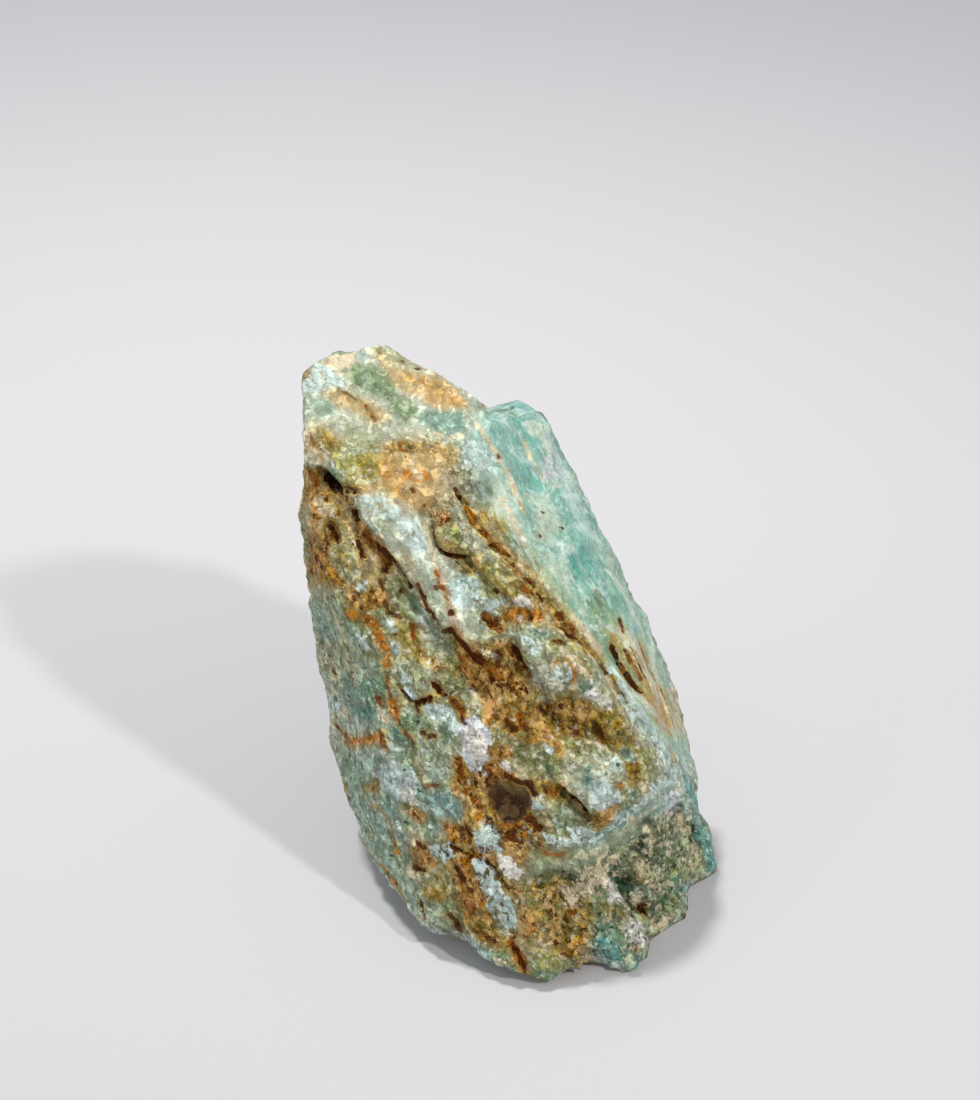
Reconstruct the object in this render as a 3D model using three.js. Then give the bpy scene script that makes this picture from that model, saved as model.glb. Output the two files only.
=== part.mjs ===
// Raw amazonite: one broken chunk of blue-green feldspar, standing on a rough base.
// It is a leaning wedge, broad at the foot and narrow at the crown, made of three grown-together
// forms: a core, a foliated slab on its right (+X) side and a lobe that overhangs a fracture
// face at the foot of its front (-Y) side. Units are millimetres and +Z is up.

import * as THREE from "three";
import { ConvexHull } from "three/addons/math/ConvexHull.js";
import { ImprovedNoise } from "three/addons/math/ImprovedNoise.js";
import { mergeVertices } from "three/addons/utils/BufferGeometryUtils.js";

// ---- Driving dimensions ------------------------------------------------------------------

const MIDDLE = new THREE.Vector3(-2, 3, 34); // a point well inside the stone
const FRONT = new THREE.Vector3(0, -0.857, 0.515); // the way the front faces
const BASE_SINK = -1.5; // the forms reach this far below the base, which cuts them flat
const WELD_BLEND = 1; // how softly the three forms run into each other

const WOBBLE = { size: 15, height: 1 }; // slow unevenness of the broken faces
const CHATTER = { size: 5.5, height: 0.55 }; // small chips and dents
const RELIEF_REACH = 6; // relief is worked out only this near to the surface
const CRACK_BODY = 7; // a crack cuts whatever lies this near to its line, in front or behind

// Layered feldspar breaks in small steps. The layers lie along the slab's outer face.
const LAYER = {
  normal: new THREE.Vector3(0.787, -0.423, 0.45).normalize(),
  thickness: 4.6,
  height: 0.7,
  bend: 0.8,
  bendSize: 22,
  patchSize: 14,
  slabFrom: 16,
  slabFull: 24,
};

// Broader steps cross the back.
const CLEAVAGE = {
  normal: new THREE.Vector3(-0.35, 0.5, 0.79).normalize(),
  thickness: 10,
  height: 1.5,
  bend: 1.3,
  bendSize: 18,
  patchSize: 13,
  backFrom: 17,
  backFull: 25,
};

// How the triangles are laid out.
const START_RADIUS = 80; // the sphere that is shrunk onto the stone
const COARSE_DETAIL = 10; // the coarse skin has 20 * (COARSE_DETAIL + 1)^2 triangles, the fine one 4 times
const COARSE_ROUNDS = 90; // passes that even out the coarse triangles
const FINE_ROUNDS = 10; // passes that even out the fine ones
const CREASE_ROUNDS = 3; // passes that pull vertices onto edges and corners
const CREASE_REACH = 1; // the furthest that one such pass moves a vertex
const CREASE_HOLD = 0.08; // how firmly a vertex keeps its place in such a pass
const DENSER_FRONT = 0.45; // how much smaller the triangles of the front are than those of the back
const HALF_DEPTH = 30; // of the stone, roughly
const SLOPE_STEP = 0.2; // for measuring which way the surface faces

// ---- Corners of the broken forms ---------------------------------------------------------

const CROWN = [
  [-32.3, 13, 76.8], [-28.7, 17, 77.6], [-20.9, 19, 78.2], [-16.4, 17, 75.9], [-11.8, 15, 73.4],
  [-7.1, 12, 70.6],
];
const BROW = [[-32.4, 3, 69.3], [-24.9, -1, 65.2], [-11.4, 3, 67]];
const LEFT_EDGE = [[-32.1, 5, 58.5], [-32.3, 5, 42.5], [-30.1, 6, 22.5], [-28.1, 6, 11], [-28.1, 3.5, 8]];
const FRONT_RIDGE = [
  [-18.3, -6.5, 54.8], [-8.6, -12.5, 43.8], [-4.9, -14, 41.5], [-3.8, -19.5, 27], [-2.4, -24.7, 17.5],
];
const SEAM = [[-1.5, -4, 53], [2.5, -8.5, 48.5], [8, -11, 42.5]];
const RAISED_RIM = [
  [-24.6, -5.2, 7], [-18.2, -17.2, 5.5], [-14.2, -21.9, 4.7], [-8.4, -25.2, 4.6], [-2.6, -29.6, 2.5],
  [2, -29.8, 1.1],
];
const FOOT = [
  [15.9, -27.3, BASE_SINK], [20, -13.2, BASE_SINK], [29.1, -3.2, BASE_SINK], [25, 16, BASE_SINK],
  [8, 29, BASE_SINK], [-16, 29, BASE_SINK], [-26, 17, BASE_SINK], [-22, 2, BASE_SINK],
  [-11, -15, BASE_SINK], [2, -24, BASE_SINK],
];
const BACK = [[-28, 24, 72], [-20, 27, 72.5], [-29, 28, 40], [-24, 30, 12], [-4, 33, 30], [-8, 30, 62]];

const CORE = [
  ...CROWN, ...BROW, ...LEFT_EDGE, ...FRONT_RIDGE, ...SEAM, ...RAISED_RIM, ...FOOT, ...BACK,
];

// The fracture at the foot of the front took away what lay before this plane and below the ledge.
const FRACTURE_FACE = [[16, -27, 0], [16, -14, 17], [-1, -23.5, 15.5]];
const LEDGE_HEIGHT = 17;

const SLAB = [
  [-6, 9, 69.2], [-5.1, 20, 67.5], [-1, 22, 67.2], [2, 20, 65.3], [9.5, 17, 53.6], [13.8, 14, 44.8],
  [18.6, 11, 32.3], [23.7, 8, 21.6], [24.2, 7, 12.7], [23.7, 5, 7.2], [24.4, 2, 3.5], [29.1, -3.2, BASE_SINK],
  [-3, -1.5, 54.7], [4.6, -7, 46.8], [12.7, -10.5, 37.7], [18.2, -13, 28.8], [22, -8, 20.2],
  [-8, 29, 60], [2, 30, 40], [10, 29, 12], [22, 20, BASE_SINK],
];

const LOBE = [
  [0.5, -24.5, 15.6], [6.7, -22.7, 15.3], [13.4, -19, 16.8], [17.8, -15, 19.8], [22.6, -7, 17.8],
  [4.2, -23.5, 20.1], [8.1, -22, 22.6], [12.1, -20, 24.7], [16.2, -17, 24.7],
  [3.9, -18.5, 32], [9.5, -18, 30], [-4.9, -14, 41.5], [4.5, -9, 46], [12.7, -11.5, 37],
  [18.2, -13.5, 28.8], [-2, -10, 15], [12, -4, 16], [5, 0, 30],
];

// ---- Relief: lumps stand out, dents and cracks go in -------------------------------------

const LUMPS = [
  { name: "nose over the brown hollow", at: [4.5, -11.5, 43], radius: 6, height: 1.4 },
  { name: "lower lobe", at: [8, -19, 30], radius: 7, height: 1.4 },
  { name: "knob above the arched crack", at: [-11.5, -2, 60], radius: 3.5, height: 1.1 },
  { name: "block of feldspar in the fracture", at: [16, -18.5, 12], radius: 2.8, height: 1.6 },
  { name: "second block in the fracture", at: [20, -11.5, 15], radius: 2.6, height: 1.4 },
  { name: "third block in the fracture", at: [9, -22.5, 9], radius: 3, height: 1.2 },
];

const DENTS = [
  { name: "pit under the brow", at: [-28.2, 0, 66], radius: 2.5, depth: 1.6 },
  { name: "square pit on the left face", at: [-27.5, -2, 58.5], radius: 2.2, depth: 0.9 },
  { name: "flat near the top of the slab", at: [3.4, 19, 59.5], radius: 6, depth: 0.8 },
  { name: "flat on the right edge", at: [16, 12.5, 41], radius: 5, depth: 0.9 },
  { name: "step in the right edge", at: [26.5, 4, 9], radius: 5.5, depth: 1.4 },
  { name: "nick behind the front corner", at: [26.5, -8.5, 1], radius: 4.5, depth: 2.6 },
  { name: "nick beside the front tip", at: [19.5, -20.5, 1], radius: 6.5, depth: 2.4 },
  { name: "chip in the raised rim", at: [-10.5, -23.5, 4], radius: 4, depth: 1.2 },
  { name: "arch under the front rim", at: [8.5, -28, -1], radius: 6.5, depth: 4.8 },
];

// A crack's line is drawn on the front and cut inwards. "left" and "right" are how far the cut
// spreads to either side of the line as it runs downwards: unequal sides make a step.
const CRACKS = [
  {
    name: "undercut below the front strip",
    line: [
      [-27.5, 0, 65], [-25.5, -1.5, 63.5], [-22.5, -4, 59.5], [-18.5, -6.5, 53.5], [-12, -11, 46.5],
      [-6.5, -14, 41],
    ],
    left: 5.5,
    right: 1,
    depth: 1.7,
  },
  {
    name: "seam between core and slab",
    line: [[-11, 1, 64.5], [-7, -0.5, 58.5], [-1, -2, 52], [4.5, -8, 46.5], [10, -8, 41], [15.5, -12, 32]],
    left: 1.1,
    right: 3,
    depth: 1.5,
  },
  {
    name: "arched crack",
    line: [
      [-14.5, -1.5, 61], [-14, -2.5, 58.5], [-11.5, -4, 56.5], [-9.5, -4, 56], [-5.5, -5.5, 51.5],
      [-0.5, -5, 47.5],
    ],
    left: 2.4,
    right: 1,
    depth: 1.1,
  },
  {
    name: "crack in the slab",
    line: [[11.5, -4, 40.5], [13.5, -6, 38], [15, -6, 35]],
    left: 1,
    right: 2.2,
    depth: 1.2,
  },
  {
    name: "crack in the lobe",
    line: [[4.5, -20.5, 27.5], [7.5, -21.5, 24.5]],
    left: 2.2,
    right: 1,
    depth: 1,
  },
  {
    name: "brown hollow",
    line: [[-4, -7.5, 48], [-1.5, -13.5, 41], [2.5, -16.5, 37], [8, -17, 34.5], [12, -16, 33]],
    left: 4,
    right: 3,
    depth: 1.8,
  },
  {
    name: "long step down the back",
    line: [[-27, 24, 66], [-22, 29, 52], [-17, 31, 36], [-15, 30, 20], [-8, 30, 8]],
    left: 9,
    right: 1.2,
    depth: 1.4,
  },
  {
    name: "short step on the back of the slab",
    line: [[4, 26, 50], [10, 24, 38], [13, 25, 26], [19, 20, 14]],
    left: 1.2,
    right: 7,
    depth: 1.4,
  },
];

// ---- Distance functions: below zero inside the stone -------------------------------------

const vector = ([x, y, z]) => new THREE.Vector3(x, y, z);
const { clamp, smoothstep } = THREE.MathUtils;
const noise = new ImprovedNoise();

// Smooth noise between about -1 and 1, with bumps of the given size. Each seed is another pattern.
function wave(p, size, seed) {
  return noise.noise(p.x / size + seed, p.y / size, p.z / size);
}

function hullPlanes(corners) {
  const hull = new ConvexHull().setFromPoints(corners.map(vector));
  return hull.faces.map(({ normal, constant }) => new THREE.Plane(normal.clone(), -constant));
}

function distanceToHull(planes, p) {
  let furthest = -Infinity;
  for (const plane of planes) furthest = Math.max(furthest, plane.distanceToPoint(p));
  return furthest;
}

function softUnion(a, b) {
  const overlap = Math.max(WELD_BLEND - Math.abs(a - b), 0) / WELD_BLEND;
  return Math.min(a, b) - (overlap * overlap * WELD_BLEND) / 4;
}

function fallOff(distance, radius) {
  const t = Math.min(distance / radius, 1);
  return (1 - t * t) ** 2;
}

const [core, slab, lobe] = [CORE, SLAB, LOBE].map(hullPlanes);
const fracture = new THREE.Plane().setFromCoplanarPoints(...FRACTURE_FACE.map(vector));
const lumps = LUMPS.map((lump) => ({ ...lump, at: vector(lump.at) }));
const dents = DENTS.map((dent) => ({ ...dent, at: vector(dent.at) }));
const cracks = CRACKS.map((crack) => {
  const points = crack.line.map(vector);
  return { ...crack, pieces: points.slice(1).map((end, i) => new THREE.Line3(points[i], end)) };
});

const along = new THREE.Vector3();
const away = new THREE.Vector3();
const side = new THREE.Vector3();

// How deep a crack cuts at p, looked at along FRONT, so that it keeps its course on any surface.
function crackDepth(crack, p) {
  let deepest = 0;
  for (const piece of crack.pieces) {
    piece.delta(along).addScaledVector(FRONT, -along.dot(FRONT));
    away.subVectors(p, piece.start);
    const body = Math.abs(away.dot(FRONT));
    away.addScaledVector(FRONT, -away.dot(FRONT));
    away.addScaledVector(along, -clamp(away.dot(along) / along.lengthSq(), 0, 1));
    const spread = side.crossVectors(along, FRONT).dot(away) > 0 ? crack.left : crack.right;
    const fade = 1 - smoothstep(body, CRACK_BODY, 2 * CRACK_BODY);
    deepest = Math.max(deepest, fade * fallOff(away.length(), spread));
  }
  return crack.depth * deepest;
}

// The height of a stack of layers at p: it climbs through each layer and drops at its edge.
function steps(stack, p, seed) {
  const depth = stack.normal.dot(p) / stack.thickness + stack.bend * wave(p, stack.bendSize, seed);
  const patch = wave(p, stack.patchSize, seed + 1);
  return { patch, rise: stack.height * (depth - Math.floor(depth) - 0.5) };
}

function layerHeight(p) {
  const { patch, rise } = steps(LAYER, p, 5);
  const inSlab = smoothstep(LAYER.normal.dot(p), LAYER.slabFrom, LAYER.slabFull);
  return rise * (0.2 + 0.8 * inSlab + 0.5 * patch);
}

function cleavageHeight(p) {
  const onBack = smoothstep(p.y, CLEAVAGE.backFrom, CLEAVAGE.backFull);
  if (onBack === 0) return 0;
  const { patch, rise } = steps(CLEAVAGE, p, 2);
  return rise * onBack * (0.5 + patch);
}

function relief(p) {
  let height = layerHeight(p) + cleavageHeight(p);
  height += WOBBLE.height * wave(p, WOBBLE.size, 3);
  height += CHATTER.height * wave(p, CHATTER.size, 7);
  for (const lump of lumps) height += lump.height * fallOff(p.distanceTo(lump.at), lump.radius);
  for (const dent of dents) height -= dent.depth * fallOff(p.distanceTo(dent.at), dent.radius);
  for (const crack of cracks) height -= crackDepth(crack, p);
  return height;
}

function distanceToForms(p) {
  const brokenAway = Math.min(fracture.distanceToPoint(p), LEDGE_HEIGHT - p.z);
  const brokenCore = Math.max(distanceToHull(core, p), brokenAway);
  return softUnion(softUnion(brokenCore, distanceToHull(slab, p)), distanceToHull(lobe, p));
}

function distanceToStone(p) {
  const d = distanceToForms(p);
  return Math.abs(d) > RELIEF_REACH ? d : d - relief(p);
}

const probe = new THREE.Vector3();

function outward(distance, p) {
  const slope = (x, y, z) => {
    const ahead = distance(probe.set(p.x + x, p.y + y, p.z + z));
    return ahead - distance(probe.set(p.x - x, p.y - y, p.z - z));
  };
  return vector([slope(SLOPE_STEP, 0, 0), slope(0, SLOPE_STEP, 0), slope(0, 0, SLOPE_STEP)]).normalize();
}

// ---- Skin: a sphere's triangles shrunk onto the stone ------------------------------------

function shrinkOnto(distance, p) {
  const inward = MIDDLE.clone().sub(p).normalize();
  for (let i = 0; i < 120; i++) {
    const d = distance(p);
    if (Math.abs(d) < 0.01) break;
    p.addScaledVector(inward, 0.8 * d);
  }
  return p;
}

function facesRound(index, count) {
  const faces = Array.from({ length: count }, () => []);
  for (let i = 0; i < index.length; i++) faces[index[i]].push(Math.floor(i / 3));
  return faces;
}

function faceMiddle(points, index, face) {
  const [a, b, c] = [0, 1, 2].map((k) => points[index[3 * face + k]]);
  const middle = new THREE.Vector3().add(a).add(b).add(c).divideScalar(3);
  return { middle, area: new THREE.Triangle(a, b, c).getArea() };
}

// Slides every vertex towards the bigger of its faces, along the surface, so that they even out.
function evenOut(distance, points, index, faces) {
  const middles = [];
  for (let f = 0; f < index.length / 3; f++) {
    const { middle, area } = faceMiddle(points, index, f);
    const towardsFront = clamp((MIDDLE.y - middle.y) / HALF_DEPTH, -1, 1);
    middles.push({ middle, pull: area * (1 + DENSER_FRONT * towardsFront) });
  }
  return points.map((p, i) => {
    const normal = outward(distance, p);
    const target = new THREE.Vector3();
    let total = 0;
    for (const f of faces[i]) {
      target.addScaledVector(middles[f].middle, middles[f].pull);
      total += middles[f].pull;
    }
    const shift = target.divideScalar(total).sub(p);
    shift.addScaledVector(normal, -shift.dot(normal));
    const q = p.clone().add(shift);
    return q.addScaledVector(normal, -0.9 * distance(q));
  });
}

// Splits each triangle into four.
function split(points, index) {
  const finer = [...points];
  const between = new Map();
  const middleOf = (a, b) => {
    const key = a < b ? `${a} ${b}` : `${b} ${a}`;
    if (!between.has(key)) between.set(key, finer.push(points[a].clone().lerp(points[b], 0.5)) - 1);
    return between.get(key);
  };
  const fourfold = [];
  for (let i = 0; i < index.length; i += 3) {
    const [a, b, c] = index.slice(i, i + 3);
    const [ab, bc, ca] = [middleOf(a, b), middleOf(b, c), middleOf(c, a)];
    fourfold.push(a, ab, ca, b, bc, ab, c, ca, bc, ab, bc, ca);
  }
  return { points: finer, index: fourfold };
}

// Moves each vertex to where the planes of the faces round it cross, so that edges stay sharp.
function sharpen(points, index, faces) {
  const planes = [];
  for (let f = 0; f < index.length / 3; f++) {
    const { middle } = faceMiddle(points, index, f);
    const normal = outward(distanceToStone, middle);
    middle.addScaledVector(normal, -distanceToStone(middle));
    planes.push({ normal, offset: normal.dot(middle) });
  }
  return points.map((p, i) => {
    const hold = CREASE_HOLD * faces[i].length;
    const m = [hold, 0, 0, 0, hold, 0, 0, 0, hold];
    const right = p.clone().multiplyScalar(hold);
    for (const f of faces[i]) {
      const n = planes[f].normal.toArray();
      for (let row = 0; row < 3; row++) {
        for (let column = 0; column < 3; column++) m[3 * row + column] += n[row] * n[column];
      }
      right.addScaledVector(planes[f].normal, planes[f].offset);
    }
    const crossing = right.applyMatrix3(new THREE.Matrix3().set(...m).invert());
    return p.clone().add(crossing.sub(p).clampLength(0, CREASE_REACH));
  });
}

function coarseSkin() {
  const sphere = new THREE.IcosahedronGeometry(START_RADIUS, COARSE_DETAIL);
  sphere.deleteAttribute("normal");
  sphere.deleteAttribute("uv");
  const geometry = mergeVertices(sphere);
  const position = geometry.getAttribute("position");
  const index = [...geometry.index.array];
  let points = Array.from({ length: position.count }, (_, i) => {
    const start = new THREE.Vector3().fromBufferAttribute(position, i).add(MIDDLE);
    return shrinkOnto(distanceToForms, start);
  });
  const faces = facesRound(index, points.length);
  for (let i = 0; i < COARSE_ROUNDS; i++) points = evenOut(distanceToForms, points, index, faces);
  return { points, index };
}

function skin() {
  const coarse = coarseSkin();
  const fine = split(coarse.points, coarse.index);
  const faces = facesRound(fine.index, fine.points.length);
  let points = fine.points;
  for (let i = 0; i < FINE_ROUNDS; i++) points = evenOut(distanceToStone, points, fine.index, faces);
  for (let i = 0; i < CREASE_ROUNDS; i++) points = sharpen(points, fine.index, faces);
  return { points, index: fine.index };
}

// Cuts the base flat at height 0 and puts the origin in the middle of the stone's outline.
function stand({ points, index }) {
  const standing = points.map(({ x, y, z }) => new THREE.Vector3(x, y, Math.max(z, 0)));
  const centre = new THREE.Box3().setFromPoints(standing).getCenter(new THREE.Vector3());
  const geometry = new THREE.BufferGeometry().setFromPoints(standing);
  geometry.setIndex(index);
  geometry.translate(-centre.x, -centre.y, 0);
  geometry.computeVertexNormals();
  return geometry;
}

const amazonite = new THREE.Mesh(
  stand(skin()),
  new THREE.MeshStandardMaterial({ color: 0x8fb5a4, roughness: 0.6, metalness: 0 }),
);
amazonite.name = "amazonite";

const stone = new THREE.Group();
stone.add(amazonite);

export default stone;
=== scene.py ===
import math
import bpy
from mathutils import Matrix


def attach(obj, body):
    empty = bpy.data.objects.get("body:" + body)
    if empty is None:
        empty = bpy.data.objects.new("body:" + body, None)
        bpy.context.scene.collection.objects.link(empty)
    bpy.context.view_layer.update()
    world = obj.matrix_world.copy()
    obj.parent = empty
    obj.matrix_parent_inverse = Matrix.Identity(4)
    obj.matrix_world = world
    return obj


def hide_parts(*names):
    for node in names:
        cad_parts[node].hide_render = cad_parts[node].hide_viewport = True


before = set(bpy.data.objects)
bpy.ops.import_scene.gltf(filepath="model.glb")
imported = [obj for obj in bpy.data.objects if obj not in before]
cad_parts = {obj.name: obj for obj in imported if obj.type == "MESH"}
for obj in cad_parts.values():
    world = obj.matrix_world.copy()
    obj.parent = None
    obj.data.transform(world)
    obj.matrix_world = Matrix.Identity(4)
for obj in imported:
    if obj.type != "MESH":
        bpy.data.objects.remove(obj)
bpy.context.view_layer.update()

# Raw amazonite: one broken lump of blue-green feldspar with iron-stained seams, drawn in metres in the
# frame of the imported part. The stone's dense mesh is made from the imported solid, so it lies where the
# solid lies. Markings are placed by pixels of the photograph, cast from its camera onto the stone.

from types import SimpleNamespace

import bmesh
import bpy
import numpy as np
from mathutils import Vector, noise
from mathutils.bvhtree import BVHTree

MM = 0.001
STONE_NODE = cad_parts["amazonite"]

# ---- camera of the photograph

PHOTO_WIDTH = 980
PHOTO_HEIGHT = 1100
FOCAL_PIXELS = 2206
SENSOR_HEIGHT = 36
EYE = Vector((-3.892, -268.207, 214.9)) * MM
PITCH_DOWN = math.radians(31)


def make_camera():
    data = bpy.data.cameras.new("camera")
    data.sensor_fit = "VERTICAL"
    data.sensor_height = SENSOR_HEIGHT
    data.lens = SENSOR_HEIGHT * FOCAL_PIXELS / PHOTO_HEIGHT
    data.clip_start = 0.01
    camera = bpy.data.objects.new("camera", data)
    camera.location = EYE
    camera.rotation_euler = (math.radians(90) - PITCH_DOWN, 0, 0)
    bpy.context.scene.collection.objects.link(camera)
    bpy.context.scene.camera = camera
    bpy.context.view_layer.update()
    return camera


CAMERA = make_camera()
TO_WORLD = np.array(CAMERA.matrix_world.to_3x3())


def project(points):
    """The pixels of the photograph at which points of the frame show."""
    seen = (points - np.array(EYE)) @ TO_WORLD
    x = PHOTO_WIDTH / 2 + FOCAL_PIXELS * seen[:, 0] / -seen[:, 2]
    y = PHOTO_HEIGHT / 2 - FOCAL_PIXELS * seen[:, 1] / -seen[:, 2]
    return np.stack([x, y], 1)


def ray_through(pixel):
    x = (pixel[0] - PHOTO_WIDTH / 2) / FOCAL_PIXELS
    y = (PHOTO_HEIGHT / 2 - pixel[1]) / FOCAL_PIXELS
    return Vector(TO_WORLD @ np.array([x, y, -1.0])).normalized()


# ---- grain of the stone

# The layers of the stone run steeply down to the right: ALONG lies in them, ACROSS is their normal.
ALONG = Vector((0.47, -0.06, -0.88)).normalized()
ACROSS = Vector((0.787, -0.423, 0.45)).normalized()
SIDEWAYS = ALONG.cross(ACROSS).normalized()
GRAIN = np.array([ALONG, SIDEWAYS, ACROSS])
# Of what a pattern is drawn out along the grain, it has this share sideways in the layers too.
SIDEWAYS_STRETCH = 0.3
# Each seed moves a noise this far, so that no two are alike.
SEED_STEP = 17.31
# How fast the finer octaves of a noise get weaker, and how much finer each is than the last.
FALL_OFF = 0.9
LACUNARITY = 2.1


def smooth(low, high, values):
    """0 below low, 1 above high, and a smooth turn between."""
    t = np.clip((values - low) / (high - low), 0, 1)
    return t * t * (3 - 2 * t)


def noise_field(points, size, stretch, octaves, seed):
    """Noise from about -1 to 1 at each point, with lumps of that size in mm, drawn out along the grain."""
    places = points / MM @ GRAIN.T
    places[:, 0] /= stretch
    places[:, 1] /= 1 + (stretch - 1) * SIDEWAYS_STRETCH
    places = places / size + seed * SEED_STEP
    return np.array([noise.fractal(p, FALL_OFF, LACUNARITY, octaves) for p in places.tolist()])


# ---- drawing on the stone

PIXELS_PER_MM = 6.5
# How far apart in pixels the points of a traced line are.
TRACE_STEP = 7
# A distance, in mm or in pixels, that is larger than any on the stone.
FAR_OFF = 1e6
SOLID = STONE_NODE.data
TREE = BVHTree.FromPolygons([v.co for v in SOLID.vertices], [p.vertices for p in SOLID.polygons])


def pixels_of(words):
    """The pixels named in words such as "300,392"."""
    return [tuple(float(value) for value in word.split(",")) for word in words]


def on_stone(pixel):
    """The point of the stone that shows at a pixel of the photograph, or None beside it."""
    return TREE.ray_cast(EYE, ray_through(pixel))[0]


def trace(pixels):
    """The points on the stone along a line drawn through pixels."""
    found = []
    for start, end in zip(pixels, pixels[1:] or pixels):
        steps = max(1, round(math.dist(start, end) / TRACE_STEP))
        for i in range(steps + 1):
            point = on_stone([a + (b - a) * i / steps for a, b in zip(start, end)])
            if point is not None:
                found.append(np.array(point))
    return found


def distance_to(line, points):
    """How far each point lies from a line on the stone, in mm."""
    nearest = np.full(len(points), FAR_OFF)
    for a, b in zip(line, line[1:] or line):
        span = b - a
        length = span @ span
        t = np.clip((points - a) @ span / length, 0, 1) if length > 0 else np.zeros(len(points))
        gap = np.linalg.norm(points - a - t[:, None] * span, axis=1) / MM
        nearest = np.minimum(nearest, gap)
    return nearest


def depth_inside(outline, pixels):
    """How far each pixel lies inside an outline of pixels, in mm on the stone, and below 0 outside it."""
    corners = np.array(outline)
    within = np.zeros(len(pixels), bool)
    nearest = np.full(len(pixels), FAR_OFF)
    x, y = pixels[:, 0], pixels[:, 1]
    for a, b in zip(corners, np.roll(corners, -1, 0)):
        span = b - a
        rise = span[1] if span[1] else 1e-9
        within ^= ((a[1] > y) != (b[1] > y)) & (x < a[0] + (y - a[1]) * span[0] / rise)
        t = np.clip(((pixels - a) @ span) / (span @ span), 0, 1)
        nearest = np.minimum(nearest, np.linalg.norm(pixels - a - t[:, None] * span, axis=1))
    return np.where(within, nearest, -nearest) / PIXELS_PER_MM


# ---- form that is finer than the solid

# Each is a half width in mm, a depth in mm and the pixels that its middle runs through.
CUTS = {
    "undercut of the long step": (0.8, 0.5, "306,468 325,480 345,492 357,510 367,525 392,562 410,588"),
    "lower end of the step": (0.5, 0.35, "419,583 424,594 429,606 434,618 440,628 447,636"),
    "hole at the left edge": (1.0, 1.4, "321,473 328,480 336,487"),
    "small hole beside it": (0.8, 1.2, "346,489 353,490"),
    "hole under the step": (0.9, 0.8, "355,510 357,520 358,530"),
    "crack below that hole": (0.5, 0.4, "358,540 361,550 364,558"),
    "lost crystal": (1.1, 1.0, "329,528 336,540"),
    "seam of the slab": (0.5, 0.35, "453,488 458,498 463,507 480,530 493,545"),
    "seam of the slab, lower part": (0.7, 0.25, "508,562 523,578 546,604 564,629 586,648 604,668 622,700"),
    "arch under the lump": (0.5, 0.5, "429,516 433,529 438,544 447,554 460,557"),
    "seam below the arch": (0.5, 0.3, "465,557 480,575 495,590 509,599"),
    "crack of the slab": (0.35, 0.4, "612,650 618,664 627,678 640,692"),
    "short crack of the slab": (0.3, 0.3, "620,620 625,632 632,640"),
    "brown channel": (1.6, 0.9, "450,640 470,662 500,690"),
    "channel under the nose": (1.2, 0.8, "513,645 520,660 525,676"),
    "hollow between them": (1.0, 0.7, "497,662 499,676"),
    "crack beside the smoky crystal": (0.9, 1.1, "560,790 572,800 586,816"),
    "crack across the left face": (0.4, 0.6, "405,697 413,703 421,701 430,698"),
    "lost blocks": (0.9, 0.8, "435,686 446,697"),
    "slit at the rim": (0.6, 1.2, "420,904 425,919"),
    "shadow line of the ledge": (0.9, 0.6, "534,882 545,875 556,873 570,877 582,882"),
    "crack of the foot": (0.4, 0.6, "485,860 497,874 508,890"),
    "crack from the hollow": (0.4, 0.5, "452,845 462,853 472,857"),
    "green channel of the broken face": (1.4, 1.2, "612,868 624,884 634,898 646,908"),
    "gap by the yellow block": (0.9, 1.0, "638,845 648,858"),
    "black pit": (0.6, 1.0, "643,910"),
    "groove of the rim": (0.8, 0.7, "512,944 518,955 525,967"),
    "pit of the left face": (0.5, 0.9, "402,591"),
    "pit below it": (0.5, 0.8, "413,745"),
}
RISES = {
    "pale strip": (3.2, 0.8, "372,508 400,535 428,572 452,615"),
    "lump": (2.3, 0.9, "446,536"),
    "nose": (3.0, 1.0, "536,644"),
    "nodule": (1.8, 0.8, "564,672"),
    "rim of the lobe": (1.0, 0.6, "578,742 592,745 605,752 618,762 623,780 618,800"),
    "white blob": (2.0, 0.9, "484,842"),
    "second white blob": (1.6, 0.7, "556,842 572,841"),
    "white grains by the smoky crystal": (1.0, 0.7, "508,766"),
    "grain on its right": (1.1, 0.7, "539,803"),
    "yellow block": (1.7, 1.1, "641,869"),
    "green crystal": (1.5, 0.7, "542,757 548,768"),
    "cream rib of the slab": (0.8, 0.35, "484,432 496,448 506,466 514,488 522,502 532,516"),
    "second rib": (0.7, 0.3, "503,500 510,515 517,531 524,540"),
    "third rib": (0.6, 0.3, "560,520 570,545 580,565 590,580 606,606"),
    "pale band of the slab": (1.2, 0.15, "616,674 634,700 650,722"),
    "lip of the seam": (0.9, 0.25, "515,552 540,582 565,612 595,650"),
    "ridge of the foot": (1.8, 0.6, "522,915 528,940 537,965"),
    "cream crystals": (1.6, 0.6, "572,892 590,884"),
    "white crystals": (1.5, 0.6, "630,930 640,940"),
}
# A cut with a smaller half width than this, in mm, needs the densest mesh.
FINEST_WIDTH = 1.0


def fine_lines():
    """The lines on the stone that need the densest mesh."""
    narrow = [pixels for half_width, _, pixels in CUTS.values() if half_width < FINEST_WIDTH]
    return [trace(pixels_of(pixels.split())) for pixels in narrow]


# ---- the dense mesh

# What lies lower than this is the flat that the stone rests on.
BASE_FACET_HEIGHT = 0.05 * MM
# Faces whose normal points further down than this are left coarse.
UNDERSIDE = -0.75
# The mesh is densest within this many mm of the fine lines.
FINE_REACH = 0.9


def split(bm, faces):
    """Cuts each edge of these faces in two, and what is then no triangle into triangles."""
    edges = list({edge for face in faces for edge in face.edges})
    bmesh.ops.subdivide_edges(bm, edges=edges, cuts=1, use_grid_fill=True)
    bmesh.ops.triangulate(bm, faces=[f for f in bm.faces if len(f.verts) > 3])


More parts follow.
